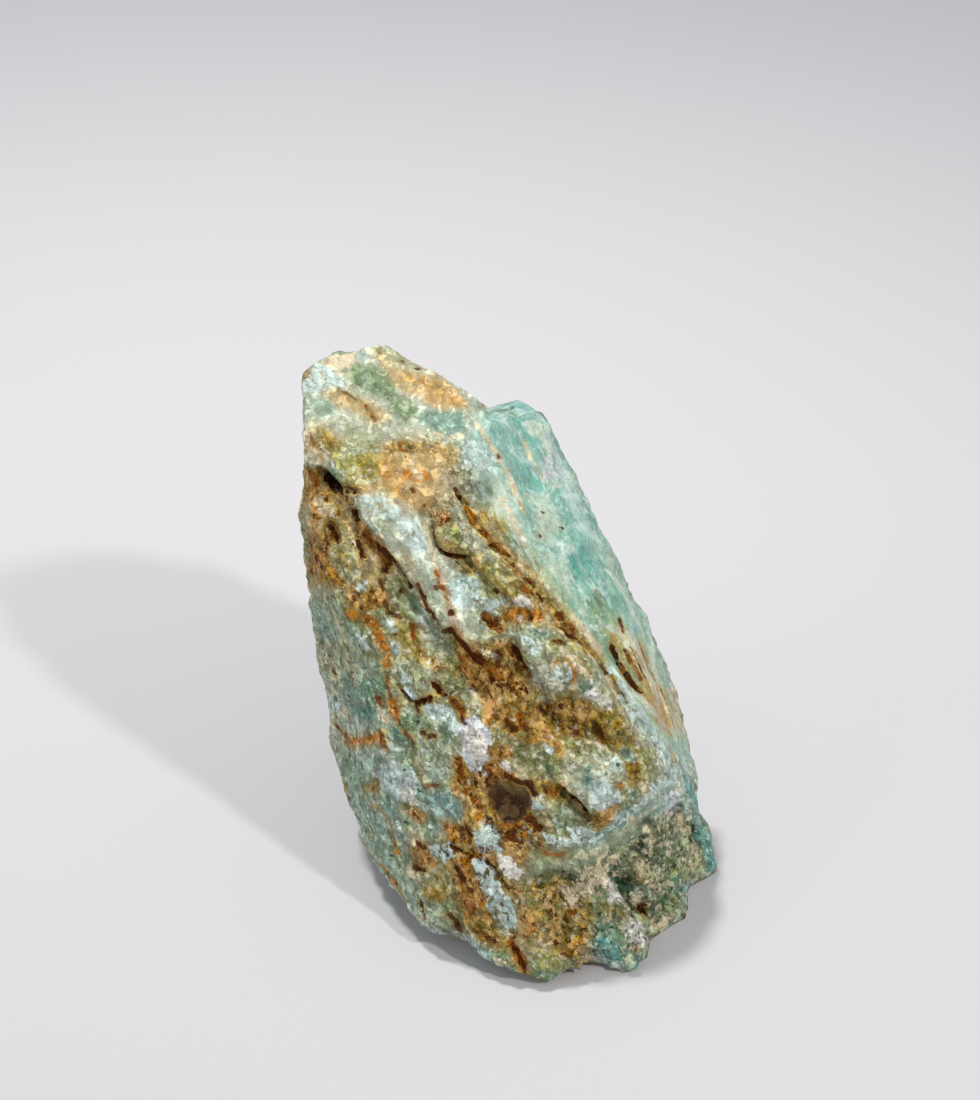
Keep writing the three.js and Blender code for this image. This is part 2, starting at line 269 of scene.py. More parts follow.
def soften(bm):
    """Rounds off the facets of the solid, but leaves the flat it rests on."""
    free = [v for v in bm.verts if v.co.z > BASE_FACET_HEIGHT]
    bmesh.ops.smooth_vert(bm, verts=free, factor=0.5, use_axis_x=True, use_axis_y=True, use_axis_z=True)


def near_lines(bm, lines):
    """The faces whose middle lies close to one of the lines."""
    bm.faces.ensure_lookup_table()
    middles = np.array([f.calc_center_median() for f in bm.faces])
    close = np.zeros(len(middles), bool)
    for line in lines:
        close |= distance_to(line, middles) < FINE_REACH
    return [bm.faces[i] for i in np.flatnonzero(close)]


def dense_mesh():
    bm = bmesh.new()
    bm.from_mesh(SOLID)
    bmesh.ops.remove_doubles(bm, verts=bm.verts, dist=1e-6)
    split(bm, bm.faces)
    soften(bm)
    bm.normal_update()
    split(bm, [f for f in bm.faces if f.normal.z > UNDERSIDE])
    soften(bm)
    split(bm, near_lines(bm, fine_lines()))
    mesh = bpy.data.meshes.new("amazonite_stone")
    bm.to_mesh(mesh)
    bm.free()
    return mesh


def read_vectors(mesh, name):
    values = np.empty(len(mesh.vertices) * 3, np.float32)
    mesh.vertices.foreach_get(name, values)
    return values.reshape(-1, 3).astype(float)


MESH = dense_mesh()
POINTS = read_vectors(MESH, "co")
NORMALS = read_vectors(MESH, "normal")
PIXELS = project(POINTS)
# How squarely each point faces the camera: 1 towards it, 0 at the outline and below 0 behind.
TO_EYE = np.array(EYE) - POINTS
FACING = (NORMALS * TO_EYE).sum(1) / np.linalg.norm(TO_EYE, axis=1)
IN_FRONT = smooth(-0.3, 0.05, FACING)

# ---- colours of the stone

# The named tones, as sRGB colours from 0 to 255.
TONES = {
    "mist": (226, 232, 208), "ice": (212, 232, 226), "sky": (158, 204, 206), "haze": (174, 202, 184),
    "sea": (136, 184, 160), "moss": (134, 162, 114), "sage": (190, 197, 148), "teal": (90, 168, 152),
    "deep": (66, 92, 62), "cream": (238, 224, 188), "peach": (238, 196, 130), "tan": (214, 161, 78),
    "ochre": (186, 128, 4), "orange": (206, 130, 28), "rust": (148, 80, 8), "umber": (80, 38, 4),
    "soot": (30, 15, 5), "olive": (148, 122, 4), "lime": (186, 182, 86), "white": (246, 244, 234),
    "lilac": (226, 230, 236), "pink": (192, 128, 94), "smoke": (66, 46, 34), "straw": (204, 178, 76),
    "turquoise": (102, 190, 188), "khaki": (162, 124, 38), "dusk": (36, 24, 18), "pine": (38, 62, 38),
}


def colour(red, green, blue):
    """An sRGB colour, 0 to 255, as the linear colour that nodes take."""
    values = [c / 255 for c in (red, green, blue)]
    return [c / 12.92 if c <= 0.04045 else ((c + 0.055) / 1.055) ** 2.4 for c in values] + [1]


TONE_NODES = {name: colour(*values) for name, values in TONES.items()}
# How much iron each tone stands for.
STAINED = {
    "peach": 0.1, "tan": 0.2, "khaki": 0.3, "olive": 0.35, "ochre": 0.4, "orange": 0.45, "rust": 0.75,
    "smoke": 0.8, "dusk": 0.9, "umber": 1.0, "soot": 1.0,
}
# The tone round a stain of each of these tones.
PALER = {
    "soot": "rust", "umber": "khaki", "rust": "khaki", "orange": "tan", "ochre": "khaki", "olive": "straw",
}
# Tones with a sharp, ragged edge, as a patch and as a line. The others blend into what is below.
DARK = {"soot", "umber"}
SHARP = DARK | {"ice", "white", "cream", "lilac"}
SHARP_LINES = SHARP | {"rust", "orange"}

# Reaches and edges are in mm.
HALO = 1.6
WASH_EDGE = 2.5
AREA_EDGE = 0.6
LINE_EDGE = 0.35
MARK_EDGE = 1.2
OVERLAP = 0.5
# The margin in pixels round a mark, for its ragged edge.
PIXEL_MARGIN = 16
# How far the edges of each kind of mark wander.
WASH_RAGGED = 1.5
AREA_RAGGED = 0.8
LINE_RAGGED = 0.5
# Shares of a mark's opacity.
HALO_SHARE = 0.4
PALER_SHARE = 0.6
AREA_SHARE = 0.9
LINE_SHARE = 0.8
UNDER_SHARP_SHARE = 0.35
SHARP_LINE_SHARE = 0.85
# How full a sharp mark is: at its edge, as a dark line, as any other line, and as a patch, which is fuller
# the more opaque it is.
EDGE_FULLNESS = 0.48
DARK_FULLNESS = 0.9
LINE_FULLNESS = 0.58
AREA_FULLNESS = 0.1
OPACITY_FULLNESS = 0.6

RAGGED = 0.7 * noise_field(POINTS, size=2.2, stretch=1.4, octaves=3, seed=21)
RAGGED += 0.45 * noise_field(POINTS, size=0.9, stretch=1.3, octaves=2, seed=22)
TINT = np.zeros((len(POINTS), 3))
STAIN = np.zeros(len(POINTS))
MARK = np.zeros((len(POINTS), 3))
EDGE = np.zeros(len(POINTS))


def change_to(tone, where):
    """What has to be added to the tint there to get the tone."""
    return np.array(TONE_NODES[tone][:3]) - TINT[where]


def blend(tone, share, where=slice(None)):
    """Blends a tone into the ground by the share given for each point."""
    TINT[where] += change_to(tone, where) * share[:, None]
    STAIN[where] += (STAINED.get(tone, 0.0) - STAIN[where]) * share


def put_mark(tone, opacity, fullness, inside, where):
    """Puts a mark with a sharp edge on the ground: inside is how far in each point lies, in mm.

    The less full it is, the more gaps it has.
    """
    shown = IN_FRONT[where] > 0.5
    strength = np.minimum(EDGE_FULLNESS + inside / MARK_EDGE, fullness).clip(0) * shown
    over = where[(inside > 0) | ((inside > -OVERLAP) & (EDGE[where] < strength))]
    MARK[over] = TINT[over] + change_to(tone, over) * opacity
    EDGE[where] = np.where(inside > 0, strength, np.maximum(EDGE[where], strength))


def halo(tone, opacity, inside, where):
    """The yellow halo of a stain, and the paler stain inside it."""
    seen = IN_FRONT[where]
    blend("straw", HALO_SHARE * opacity * smooth(-HALO, 0, inside) * seen, where)
    blend(PALER[tone], PALER_SHARE * opacity * smooth(-HALO / 2, HALO / 2, inside) * seen, where)


def close_to(pixels, reach):
    """The points of the stone that show in the box round some pixels, with a margin in mm."""
    margin = PIXEL_MARGIN + reach * PIXELS_PER_MM
    low, high = np.min(pixels, 0) - margin, np.max(pixels, 0) + margin
    return np.flatnonzero(((PIXELS > low) & (PIXELS < high)).all(1))


def wash(tone, opacity, outline):
    """A wide tint with no edge."""
    where = close_to(outline, WASH_EDGE)
    inside = depth_inside(outline, PIXELS[where]) + WASH_RAGGED * RAGGED[where]
    blend(tone, opacity * smooth(-WASH_EDGE, WASH_EDGE, inside) * IN_FRONT[where], where)


def area(tone, opacity, outline):
    """A patch: one of a sharp tone has gaps, the more the less opaque it is, and any other is soft."""
    where = close_to(outline, HALO)
    inside = depth_inside(outline, PIXELS[where]) + AREA_RAGGED * RAGGED[where]
    share = opacity * smooth(-AREA_EDGE, AREA_EDGE, inside) * IN_FRONT[where]
    if tone in PALER:
        halo(tone, opacity, inside, where)
    if tone in SHARP:
        blend(tone, UNDER_SHARP_SHARE * share, where)
        put_mark(tone, 1.0, AREA_FULLNESS + opacity * OPACITY_FULLNESS, inside, where)
    else:
        blend(tone, AREA_SHARE * share, where)
        EDGE[where] *= 1 - share


def line(tone, opacity, half_width, course):
    """A line along a course of pixels, or a dot where that is one pixel."""
    where = close_to(course, half_width)
    gap = distance_to(trace(course), POINTS[where])
    inside = half_width - (gap + LINE_RAGGED * min(half_width, 1.0) * RAGGED[where])
    if tone in PALER:
        halo(tone, opacity, inside, where)
    blend(tone, LINE_SHARE * opacity * smooth(-LINE_EDGE, LINE_EDGE, inside) * IN_FRONT[where], where)
    if tone in DARK:
        put_mark(tone, opacity, DARK_FULLNESS, inside, where)
    elif tone in SHARP_LINES:
        put_mark(tone, SHARP_LINE_SHARE * opacity, LINE_FULLNESS, inside, where)


def marks_in(text):
    """The marks of a text, each as its words. A slash starts one more mark like the last."""
    marks = []
    for word in text.split():
        if word in TONES:
            marks.append([word])
        elif word == "/":
            marks.append(marks[-1][:3])
        else:
            marks[-1].append(word)
    return marks


def paint(text):
    """Lays the marks of a text on the stone, each over those before it."""
    for tone, opacity, kind, *words in marks_in(text):
        pixels = pixels_of(words)
        if kind == "wash":
            wash(tone, float(opacity), pixels)
        elif kind == "area":
            area(tone, float(opacity), pixels)
        else:
            line(tone, float(opacity), float(kind), pixels)


# ---- what the photograph shows of the colours

# Each mark is a tone, its opacity, its half width in mm, and the pixels that its middle runs through. An
# area is an outline that is filled, and a wash is a wide tint. A slash starts one more mark of that kind.
MARKS = {
    # In the wide tints, the mist washes along the left edge are partly painted light: they lighten the left
    # face, which gets little of the lamps' light.
    "wide tints": """
mist .6 wash 296,560 330,590 350,700 380,830 420,900 380,860 340,800 310,680 / 300,640 340,640 360,740
  330,740
mist .5 wash 360,490 400,480 480,610 480,650 440,620
mist .6 wash 420,540 480,560 480,600 440,600
cream .5 wash 420,470 480,470 540,560 560,600 520,600 460,530 / 310,350 400,350 480,400 480,440 400,440
  310,460
peach .6 wash 380,430 460,440 450,500 400,515 350,480 340,450
straw .5 wash 320,440 380,450 400,490 350,495
tan .5 wash 305,490 345,495 400,560 410,600 380,625 330,600 305,580
straw .6 wash 445,500 480,500 560,585 640,680 660,770 620,790 590,700 500,600 460,560
lime .25 wash 430,510 470,520 520,600 490,610 450,570
straw .45 wash 455,640 520,640 560,680 640,720 640,790 560,770 500,790 450,740
sage .4 wash 320,610 440,640 460,700 400,710 330,690
mist .5 wash 320,690 440,700 460,790 360,800 330,740
khaki .7 wash 455,760 500,750 570,780 580,850 500,880 440,860
khaki .5 wash 470,640 530,650 600,700 600,740 540,745 480,720
khaki .45 wash 462,822 510,826 530,860 500,890 470,885
khaki .4 wash 340,575 400,580 412,650 360,650
khaki .35 wash 400,640 450,650 450,700 410,700
mist .4 wash 290,620 330,640 336,700 300,700
ice .6 wash 508,864 560,846 610,830 650,798 684,772 700,786 690,800 650,826 610,850 560,864 526,882
moss .3 wash 590,850 700,815 705,900 640,960 590,950
sea .4 wash 495,415 540,405 600,520 620,600 560,560 505,470
khaki .6 wash 520,690 600,700 640,740 620,780 540,800 510,760
khaki .5 wash 345,590 400,590 420,650 370,660
straw .5 wash 540,760 640,760 640,820 560,830
straw .45 wash 400,830 480,840 490,930 440,920 400,880
ochre .4 wash 460,900 530,880 590,890 600,960 540,970 480,940
sage .6 wash 590,860 700,820 700,900 640,950 600,940
""",
    "crown": """
mist .7 area 302,400 308,362 330,350 378,345 400,352 470,392 485,412 500,450 430,438 380,442 330,470 303,465
cream .85 area 322,358 356,352 350,372 335,390 318,392
ice .8 area 312,362 330,366 345,385 325,390 305,398 302,385
tan .7 area 302,368 312,368 310,380 302,382
moss .7 .5 325,352 345,352
sky .8 .6 355,353 363,356
peach .85 area 368,350 382,352 395,368 420,376 440,378 462,393 470,408 455,408 430,400 405,392 390,382
  380,365 / 415,378 450,388 464,402 445,412 420,400
sage .7 area 383,352 398,350 408,360 398,368 385,362
tan .6 .8 402,374 425,384 448,398 462,404
moss .95 area 345,376 360,366 385,368 392,380 400,392 415,405 418,418 405,425 392,415 382,400 365,392
  350,384
deep .4 .5 352,380 372,384 388,398 404,414
umber .8 .28 380,351
umber .8 .25 395,351
umber .8 .3 418,369
umber .7 .28 402,362
umber .6 .25 438,386
umber .6 .3 410,378
peach .8 area 325,388 345,392 360,400 378,408 390,418 385,425 370,420 352,412 335,402 322,396
umber .65 .22 338,390 347,394 355,399
rust .75 .28 365,405 370,412 376,422
sea .6 area 308,398 330,402 336,414 318,416
teal .7 area 420,412 440,410 460,412 466,428 455,437 432,434 420,424
cream .6 area 405,428 470,433 462,444 420,442 / 302,420 326,424 334,446 330,468 303,465
tan .5 area 302,438 318,440 322,458 306,462
rust .6 .35 309,432 314,446
rust .6 .3 322,458
olive .85 area 318,430 330,432 342,440 340,450 332,452 320,442
sage .8 area 345,420 385,435 382,458 350,452
lime .85 area 330,455 380,455 388,488 345,490 335,470
olive .65 area 360,460 382,462 382,474 362,474
tan .9 area 385,445 420,440 462,448 458,462 440,470 440,500 425,515 398,510 388,490 383,470
peach .8 area 396,456 440,456 446,478 430,492 402,484
orange .6 .8 404,474 424,478
peach .7 area 385,468 400,468 400,480 386,480
orange .9 area 382,462 392,460 390,474 384,478
orange .4 area 392,482 440,480 438,500 428,514 400,510
peach .6 .8 410,484 424,492
cream .6 area 440,470 470,478 476,500 450,505 436,498
rust .8 .25 399,447 401,443 406,442 409,447 406,452 401,451 399,447
umber .8 .22 406,457
umber .7 .3 450,455
umber .6 .35 412,490
umber .7 .3 424,506
umber .7 .4 400,503
cream .7 .4 414,470 420,476
cream .7 .35 405,488
cream .6 .4 432,492
""",
    "under the crown": """
orange .6 area 302,465 318,468 334,492 330,500 304,502
rust .6 .5 308,474 318,484
soot 1 area 317,469 326,472 335,481 342,489 335,492 322,482
umber 1 area 343,486 353,486 355,493 345,493
umber .85 .4 338,491 344,497 350,504
tan .75 area 354,484 376,484 376,498 360,500
tan .8 area 305,500 345,500 350,530 308,532
rust .55 area 312,508 330,506 334,522 316,524
cream .6 .7 318,502 330,512
umber .7 .4 338,513
umber .6 .35 316,516
rust .9 area 325,523 333,521 342,539 334,545 328,536
umber .8 .3 330,528 336,540
umber .9 .35 353,512 358,524 358,540 363,556
soot .8 .3 352,545
orange .9 area 307,533 325,530 332,545 324,560 347,585 340,591 318,583 309,570
ochre .7 area 320,565 338,566 348,588 330,590
rust .8 .45 314,540
rust .8 .5 316,556 322,566
umber .7 .35 326,578
sage .75 area 332,544 350,546 356,576 346,582 333,566
olive .5 .8 340,552 348,566
peach .7 area 358,562 376,564 376,580 360,580
tan .85 area 356,520 376,529 382,545 396,562 386,573 378,566 372,555 362,545
peach .7 .8 362,526 372,540 384,556
rust .7 .5 364,532 374,546 386,560
tan .7 .4 370,530 380,540
umber .9 .45 378,545 386,555 390,563 385,571
soot .9 .35 390,557 397,567 401,577 408,587
soot 1 .4 402,591
""",
    "left face": """
sage .6 area 310,590 380,585 420,620 430,690 330,700 316,640
moss .75 area 382,575 400,578 410,590 421,600 419,612 405,619 394,610 385,595
umber .7 .3 380,580 385,600 388,612 400,617
orange .8 area 345,588 380,590 386,600 376,609 360,613 350,606
umber .8 .4 372,593
umber .8 .35 362,607
rust .7 .5 354,598
ice .8 area 356,582 366,582 366,591 357,591
tan .6 1.1 350,612 365,618 375,625 378,640 385,650 388,668
orange .8 .6 350,612 365,618 375,625 378,640 385,650 387,665
tan .8 .55 322,600 330,612 338,622 341,632 345,645 348,650
sky .85 area 311,598 320,605 326,620 331,636 325,641 318,626 312,611
sea .75 area 322,622 336,628 336,646 324,644
lime .7 area 318,640 344,640 348,672 322,674
tan .6 area 318,648 334,646 332,672 320,672
olive .8 .4 325,655
umber .7 .3 340,660
umber .7 .25 331,668 335,674
ice .8 .7 387,622 393,628
ice .7 .8 361,636 365,644
ice .7 .7 394,646 397,655
sea .75 1 348,628 356,638
sea .7 .5 380,612
olive .5 area 398,626 424,630 424,662 400,660
rust .8 .35 411,625 414,638
umber .8 .3 395,634
umber .8 .32 420,652
umber .8 .3 426,658 / 433,660 / 437,667
umber .8 .35 348,651
umber .7 .3 351,663
umber .6 .3 370,655
mist .7 area 420,600 438,604 442,640 424,640
moss .75 area 440,648 462,652 466,690 444,692
lime .5 .8 448,656 456,676
rust .9 area 452,640 462,644 476,655 482,673 466,670 456,653
umber .8 .6 458,646 468,656 474,666
""",
    "middle of the left face": """
ochre .6 .9 327,666 334,674
cream .85 .9 330,688 338,698 345,712
pink .85 .45 344,697 / 346,706
ice .7 area 323,694 340,696 342,712 328,710
sea .85 area 340,678 386,677 386,692 376,721 350,716
teal .7 area 356,706 376,706 375,722 360,721
cream .75 area 374,703 396,705 394,722 378,722
umber .8 .3 348,663
umber .8 .28 352,672 / 353,679
umber .7 .35 337,716
rust .8 .32 388,675 390,690 392,700
orange .9 .8 391,702 396,706
rust .75 .6 378,700 381,704
orange .6 .8 395,710 402,722 408,737 412,744
rust .85 .35 395,710 402,722 408,737 412,744
soot 1 .42 412,745
soot .9 .3 398,686
ice .85 area 399,667 408,674 417,695 411,699 402,686
sage .75 area 416,672 434,676 430,696 414,690
soot 1 .3 402,690 408,698 416,703 425,701 430,698
soot .8 .25 416,703 419,712
soot 1 .4 429,699
umber 1 area 432,682 440,684 445,697 436,697 432,690 / 442,691 450,698 446,701 441,697
ice .95 area 425,705 440,702 453,711 461,728 455,736 444,724 431,719
moss .85 area 404,711 430,721 451,735 446,743 425,736 404,726
umber .8 .3 423,733
umber .8 .28 428,738 / 434,736
sage .6 area 398,744 450,742 452,768 404,768
teal .5 .7 396,732 404,744
tan .6 .9 452,700 460,708 465,722 467,730
rust .85 .4 452,700 460,708 465,722 467,730
lilac 1 area 460,722 475,714 491,730 493,760 480,773 466,783 462,760
white 1 area 466,728 482,726 488,752 474,766 467,752
mist .5 .6 468,736 484,742
tan .5 .4 474,752 482,756
rust .8 .4 335,722 342,732 350,738
tan .85 1.1 345,742 360,741 375,740 385,735
orange .7 .5 348,742 362,741 380,737
rust .8 .5 382,734 384,746
orange .85 area 455,759 465,761 467,775 462,791 456,801 450,786 456,775
umber .7 .4 459,768 460,782
tan .8 .8 417,762 421,776
rust .8 .3 428,785 437,786
sea .6 area 340,756 384,756 390,770 400,830 360,830 346,790
moss .7 .9 344,760 354,766
ice .9 area 380,764 400,761 415,774 419,795 400,801 388,796 378,782
white .8 1 407,794 414,804
ochre 1 area 365,783 375,783 377,793 368,794
ochre .8 .45 347,786
pink .9 .55 380,766
sky .8 area 425,799 450,790 466,810 461,826 440,816 425,803
deep .7 .6 420,801 428,810 435,821
ochre .85 area 404,804 418,807 426,818 420,826 409,813
rust .6 .4 412,812 420,820
tan .75 .6 370,804 380,810 388,820 390,828
olive .7 area 467,781 480,777 485,801 472,806
teal .6 .7 398,733 404,742
""",
    "pale strip": """
mist .9 area 357,497 385,488 425,518 445,556 470,600 480,650 462,650 440,612 410,570 385,540 362,515
ice .7 area 360,498 385,492 400,505 405,520 380,520
sky .5 .9 388,513 400,520
ice .9 area 395,520 418,520 432,548 418,556 402,540
ice .8 area 446,578 476,578 482,612 456,614
cream .85 .55 425,520 428,540 432,560
sage .5 .8 376,508 392,536 408,560
umber .5 .28 386,498
umber .6 .25 412,533
tan .6 .5 402,552 412,568
sea .5 area 418,566 432,566 446,596 438,606
pink 1 .7 437,571 442,580 447,590 451,601 451,612
rust .8 .25 435,570 440,582 446,594 449,606
umber .9 .45 451,613
pink .9 .6 452,618 457,629 460,637
umber .7 .25 436,588
umber .9 .26 418,584 424,598 430,612 437,622 442,632 450,640 455,646
olive .95 area 432,524 445,534 460,545 463,556 452,559 442,551 436,541
rust .8 area 431,513 450,514 452,527 434,528
lime .7 area 446,524 461,526 462,540 450,536
umber .9 .3 432,522 436,535 442,547 452,556 463,558
olive .85 area 460,560 475,564 475,576 462,573
sky .7 .9 462,581 474,584
""",
    "slab": """
haze .8 area 487,404 530,398 550,418 592,510 625,575 662,640 690,730 690,770 655,735 610,690 565,615
  520,560 480,510 465,450
sky .75 area 500,400 530,400 534,413 506,414
teal .75 .8 515,416 524,428 534,440
moss .8 .5 519,417 524,420
teal .55 .9 520,445 536,475 548,500
mist .85 .3 497,412 510,425 522,436
mist .75 .3 505,430 512,441 518,455
mist .8 .6 520,450 530,459
cream .6 .35 524,440 536,462 546,482
lilac .85 area 544,453 561,470 557,482 548,474
lilac .6 .6 546,430 560,462 574,500
mist .7 .6 540,430 552,455 566,495
mist .6 area 490,470 510,472 514,520 494,512
ice .8 area 463,440 485,440 495,452 500,470 490,479 470,470 463,456
sage .8 area 460,467 480,470 478,479 462,481
deep .85 area 467,482 490,478 493,495 478,501 466,495
soot .6 .4 454,487 458,499
deep .8 .35 478,506 490,504
mist .75 area 450,500 462,505 474,522 492,546 474,556 462,545 456,525
khaki .8 1 462,506 474,522 488,540 504,554
orange .8 .5 466,510 476,524 490,541 506,555
lime .8 area 479,507 500,514 516,530 506,541 487,526
ochre .6 .6 484,514 498,527
umber .9 .3 455,489 460,500
rust .8 .3 462,506 470,520 480,531 492,545
umber .8 .25 465,512 472,523
peach .8 .4 492,536 500,544 508,552
umber .6 .35 494,544 508,556
cream .95 .36 478,425 488,440 498,455 508,475 516,495 525,512 / 503,500 510,515 516,530 523,540
white .9 .6 523,541
umber .8 .3 499,457 / 512,413 / 543,513
umber .7 .3 541,535
umber .8 .28 561,529
mist .8 .3 538,520 550,548 562,572
mist .9 .35 556,512 568,538 578,560 590,582 602,604
""",
    "lower half of the slab": """
sea .75 area 540,560 600,560 616,622 570,622
teal .75 area 553,548 582,546 584,576 560,577
ice .75 .7 558,548 570,550
mist .9 .42 568,540 578,560 585,578 600,598 612,620
mist .7 .5 545,560 556,575 570,592 582,610 590,622
moss .75 area 588,598 616,600 620,646 594,640
lime .6 .6 598,610 606,632
deep .9 .4 552,580 / 599,585
deep .9 .35 575,578
teal .6 .7 586,555 604,590 622,620
sea .7 .5 600,560 622,600 638,630
mist .6 .5 610,570 630,605 648,645
teal .5 .6 640,660 662,700
sky .8 .7 630,628 640,628
ochre .7 area 616,628 628,630 646,655 662,694 676,735 664,728 646,700 630,664
cream .9 .5 622,634 634,652 644,672 652,690
straw .9 .4 628,634 640,650 650,672 660,694
cream .9 .3 636,640 647,660 657,682
rust .85 .3 626,648 635,666 642,680
rust .8 .25 640,644 648,662 655,680
umber .8 .22 632,648 640,664 646,678
umber .8 .35 621,620 624,632
umber .7 .35 625,650 630,660
ochre .8 .5 613,634 615,645
ice .8 .65 610,665 625,690 635,705
umber .9 .36 611,646 618,662 627,675 637,688 642,692
soot .9 .18 614,654 620,665 628,677
mist .7 area 618,690 640,714 664,744 674,770 680,792 664,776 646,750 624,715
ice .85 1.2 622,694 640,716 658,742 668,768
tan .5 area 655,684 678,690 688,734 672,735 658,708
cream .9 .35 656,684 664,704 672,724 678,738 / 668,686 676,706 684,728
rust .7 .25 661,688 669,708 676,728
khaki .8 .3 674,692 681,712 687,732
""",
    "seam of the slab": """
sage .7 area 518,545 528,544 568,598 592,640 584,646 556,604
peach .9 .4 505,548 520,560 535,575 550,595 558,605
straw .8 .9 560,608 580,635 600,655 616,684
cream .9 .65 570,615 585,635 600,650
olive .75 .7 470,555 485,575 500,590 515,600
umber .8 .35 496,592
rust .7 area 507,561 520,567 531,577 538,589 530,593 521,583 511,573
umber .9 .35 512,566 518,573 / 526,578 531,586
cream .8 .3 518,566 526,574
ochre .8 area 514,582 535,589 549,604 540,607 524,596
rust .8 .4 524,588 532,594
umber .95 .4 538,595 546,606
ochre .9 .55 545,605 553,615 560,625
ochre .9 area 555,611 570,619 581,635 575,642 562,630
rust .8 .5 560,616 574,632
umber .9 .45 562,628 575,640 585,648
ochre .8 .6 578,640 592,655
ochre .9 .55 590,655 602,665 610,675 620,695 628,710
cream .85 .5 600,665 608,680 618,700
umber .6 .3 598,662 606,674
""",
    "nose": """
sage .6 area 462,612 500,598 530,640 520,680 470,660
ice .8 area 484,598 506,600 504,613 487,613
peach .9 area 499,609 520,597 546,600 562,622 550,629 525,626 504,626
orange .7 .8 508,616 524,610 540,616
rust .6 .4 516,621 532,619
white .9 .9 518,602 526,605
white .95 .5 520,618
umber .9 .45 487,620 493,626
umber .85 .4 497,619
rust .7 .7 484,616 500,628
sea .85 area 524,628 545,629 561,640 545,643 530,637
ice .95 area 521,632 530,640 545,645 551,656 535,656 524,646
lime .7 area 540,646 556,646 558,656 542,657
soot .8 .25 554,641 566,642
umber 1 area 511,639 520,649 526,665 521,673 514,659 509,648
khaki .85 area 470,640 508,642 520,672 534,702 505,712 474,696 460,668
rust .55 area 484,668 508,664 524,700 500,704 486,690
rust .7 .6 456,643 466,656 476,668
rust .7 .9 482,658 494,676 510,692
tan .6 .45 492,664
tan .6 .4 514,690
umber .8 .35 490,652
umber .8 .4 500,665
umber .8 .35 503,680
umber 1 .95 449,634 458,646 468,656 478,664
umber .7 .4 484,672 492,682 500,694
cream .7 .5 484,652 496,656
cream .7 .4 512,684
mist .75 area 528,664 560,664 572,690 545,697 530,681
umber .8 .35 537,692
umber .8 .32 569,695
ice .7 area 553,660 570,659 572,680 555,682
smoke .3 .7 562,671
orange .85 .3 556,662 568,661 574,671 573,681
cream .9 .5 562,650 575,660 585,675 600,690
smoke .5 .3 573,655 582,663 590,673
sky .6 area 575,680 596,680 598,700 580,702
white .75 1.1 594,694 606,704
""",
    "lobe": """
sage .7 area 494,706 500,690 600,700 625,790 560,810 500,800 496,770
umber .65 area 498,680 525,684 531,706 510,702
orange .9 area 484,700 520,704 561,714 556,741 530,743 505,736 484,722
tan .7 .6 498,708 512,714
peach .7 .5 530,722 540,730
tan .6 .5 492,718
rust .8 .7 520,714 526,728
umber .8 .45 506,722 514,728
umber .8 .4 546,720
rust .8 area 535,708 560,699 580,700 601,712 590,719 585,741 565,736 550,721
umber .8 .35 560,706 572,714 584,724
umber .7 .35 552,716 562,728
ochre .7 area 560,704 590,706 592,720 574,734 562,722
olive .95 area 598,707 620,714 623,735 615,753 600,743 590,731
soot .6 .45 594,722 602,738
lime .5 .6 608,720 614,736
sage .8 area 496,726 506,730 522,742 518,760 498,760
tan .4 .8 484,738 506,750
rust .85 area 489,747 511,748 510,766 492,764
umber .7 .4 500,756
moss .95 area 530,747 545,743 553,755 561,768 548,776 537,763
ice .9 .5 546,746 552,751
orange .85 area 548,741 562,741 563,759 555,753
sage .8 area 563,739 586,741 601,755 590,761 570,753
lime .5 .6 572,746 584,752
cream .9 .42 585,744 600,748 608,753 615,758
mist .7 area 562,756 622,756 624,800 600,814 574,804 560,780
ice .9 area 601,754 618,761 621,776 610,769
teal .85 area 582,768 592,764 596,786 585,789
ice .9 area 588,785 600,774 613,785 619,800 600,813 588,806
ochre .9 .35 605,790
orange .9 .35 619,785
pink .8 .4 562,769
olive .9 area 621,759 640,761 646,785 630,786
lime .7 area 638,744 654,748 654,782 644,780
sky .8 .8 624,753 631,758
teal .8 .6 634,794
cream .8 .8 643,786 648,793
orange .8 area 538,782 562,784 564,798 542,797
rust .7 .5 546,790 556,792
umber .95 .5 562,789 572,799 580,810 587,819
tan .6 1.1 568,802 582,818
sage .7 area 556,806 590,814 596,828 560,830
moss .85 area 543,815 555,808 570,805 581,820 565,826 560,836 549,823
orange .8 area 588,814 605,809 619,807 608,823 598,829
sky .8 area 625,804 640,809 641,823 621,823
haze .8 area 520,868 560,848 610,830 650,798 684,772 700,786 690,800 650,826 610,848 560,862
ice .9 .8 550,850 590,842 620,820 650,796 676,772
sea .8 .7 540,860 580,852 612,838 640,812
mist .9 .8 600,850 624,832 656,806 684,786
teal .6 .4 566,848 600,838 626,818
teal .6 .5 620,842 646,820 672,798
lilac .75 area 664,789 681,790 681,810 666,812
turquoise .9 .7 685,780 695,800 700,820
deep .7 .8 664,815 672,822
tan .5 area 496,746 504,748 514,770 506,784 494,776
white .95 .8 504,764 510,768
cream .95 .6 517,768 522,776
orange .9 .8 504,774 512,780
""",
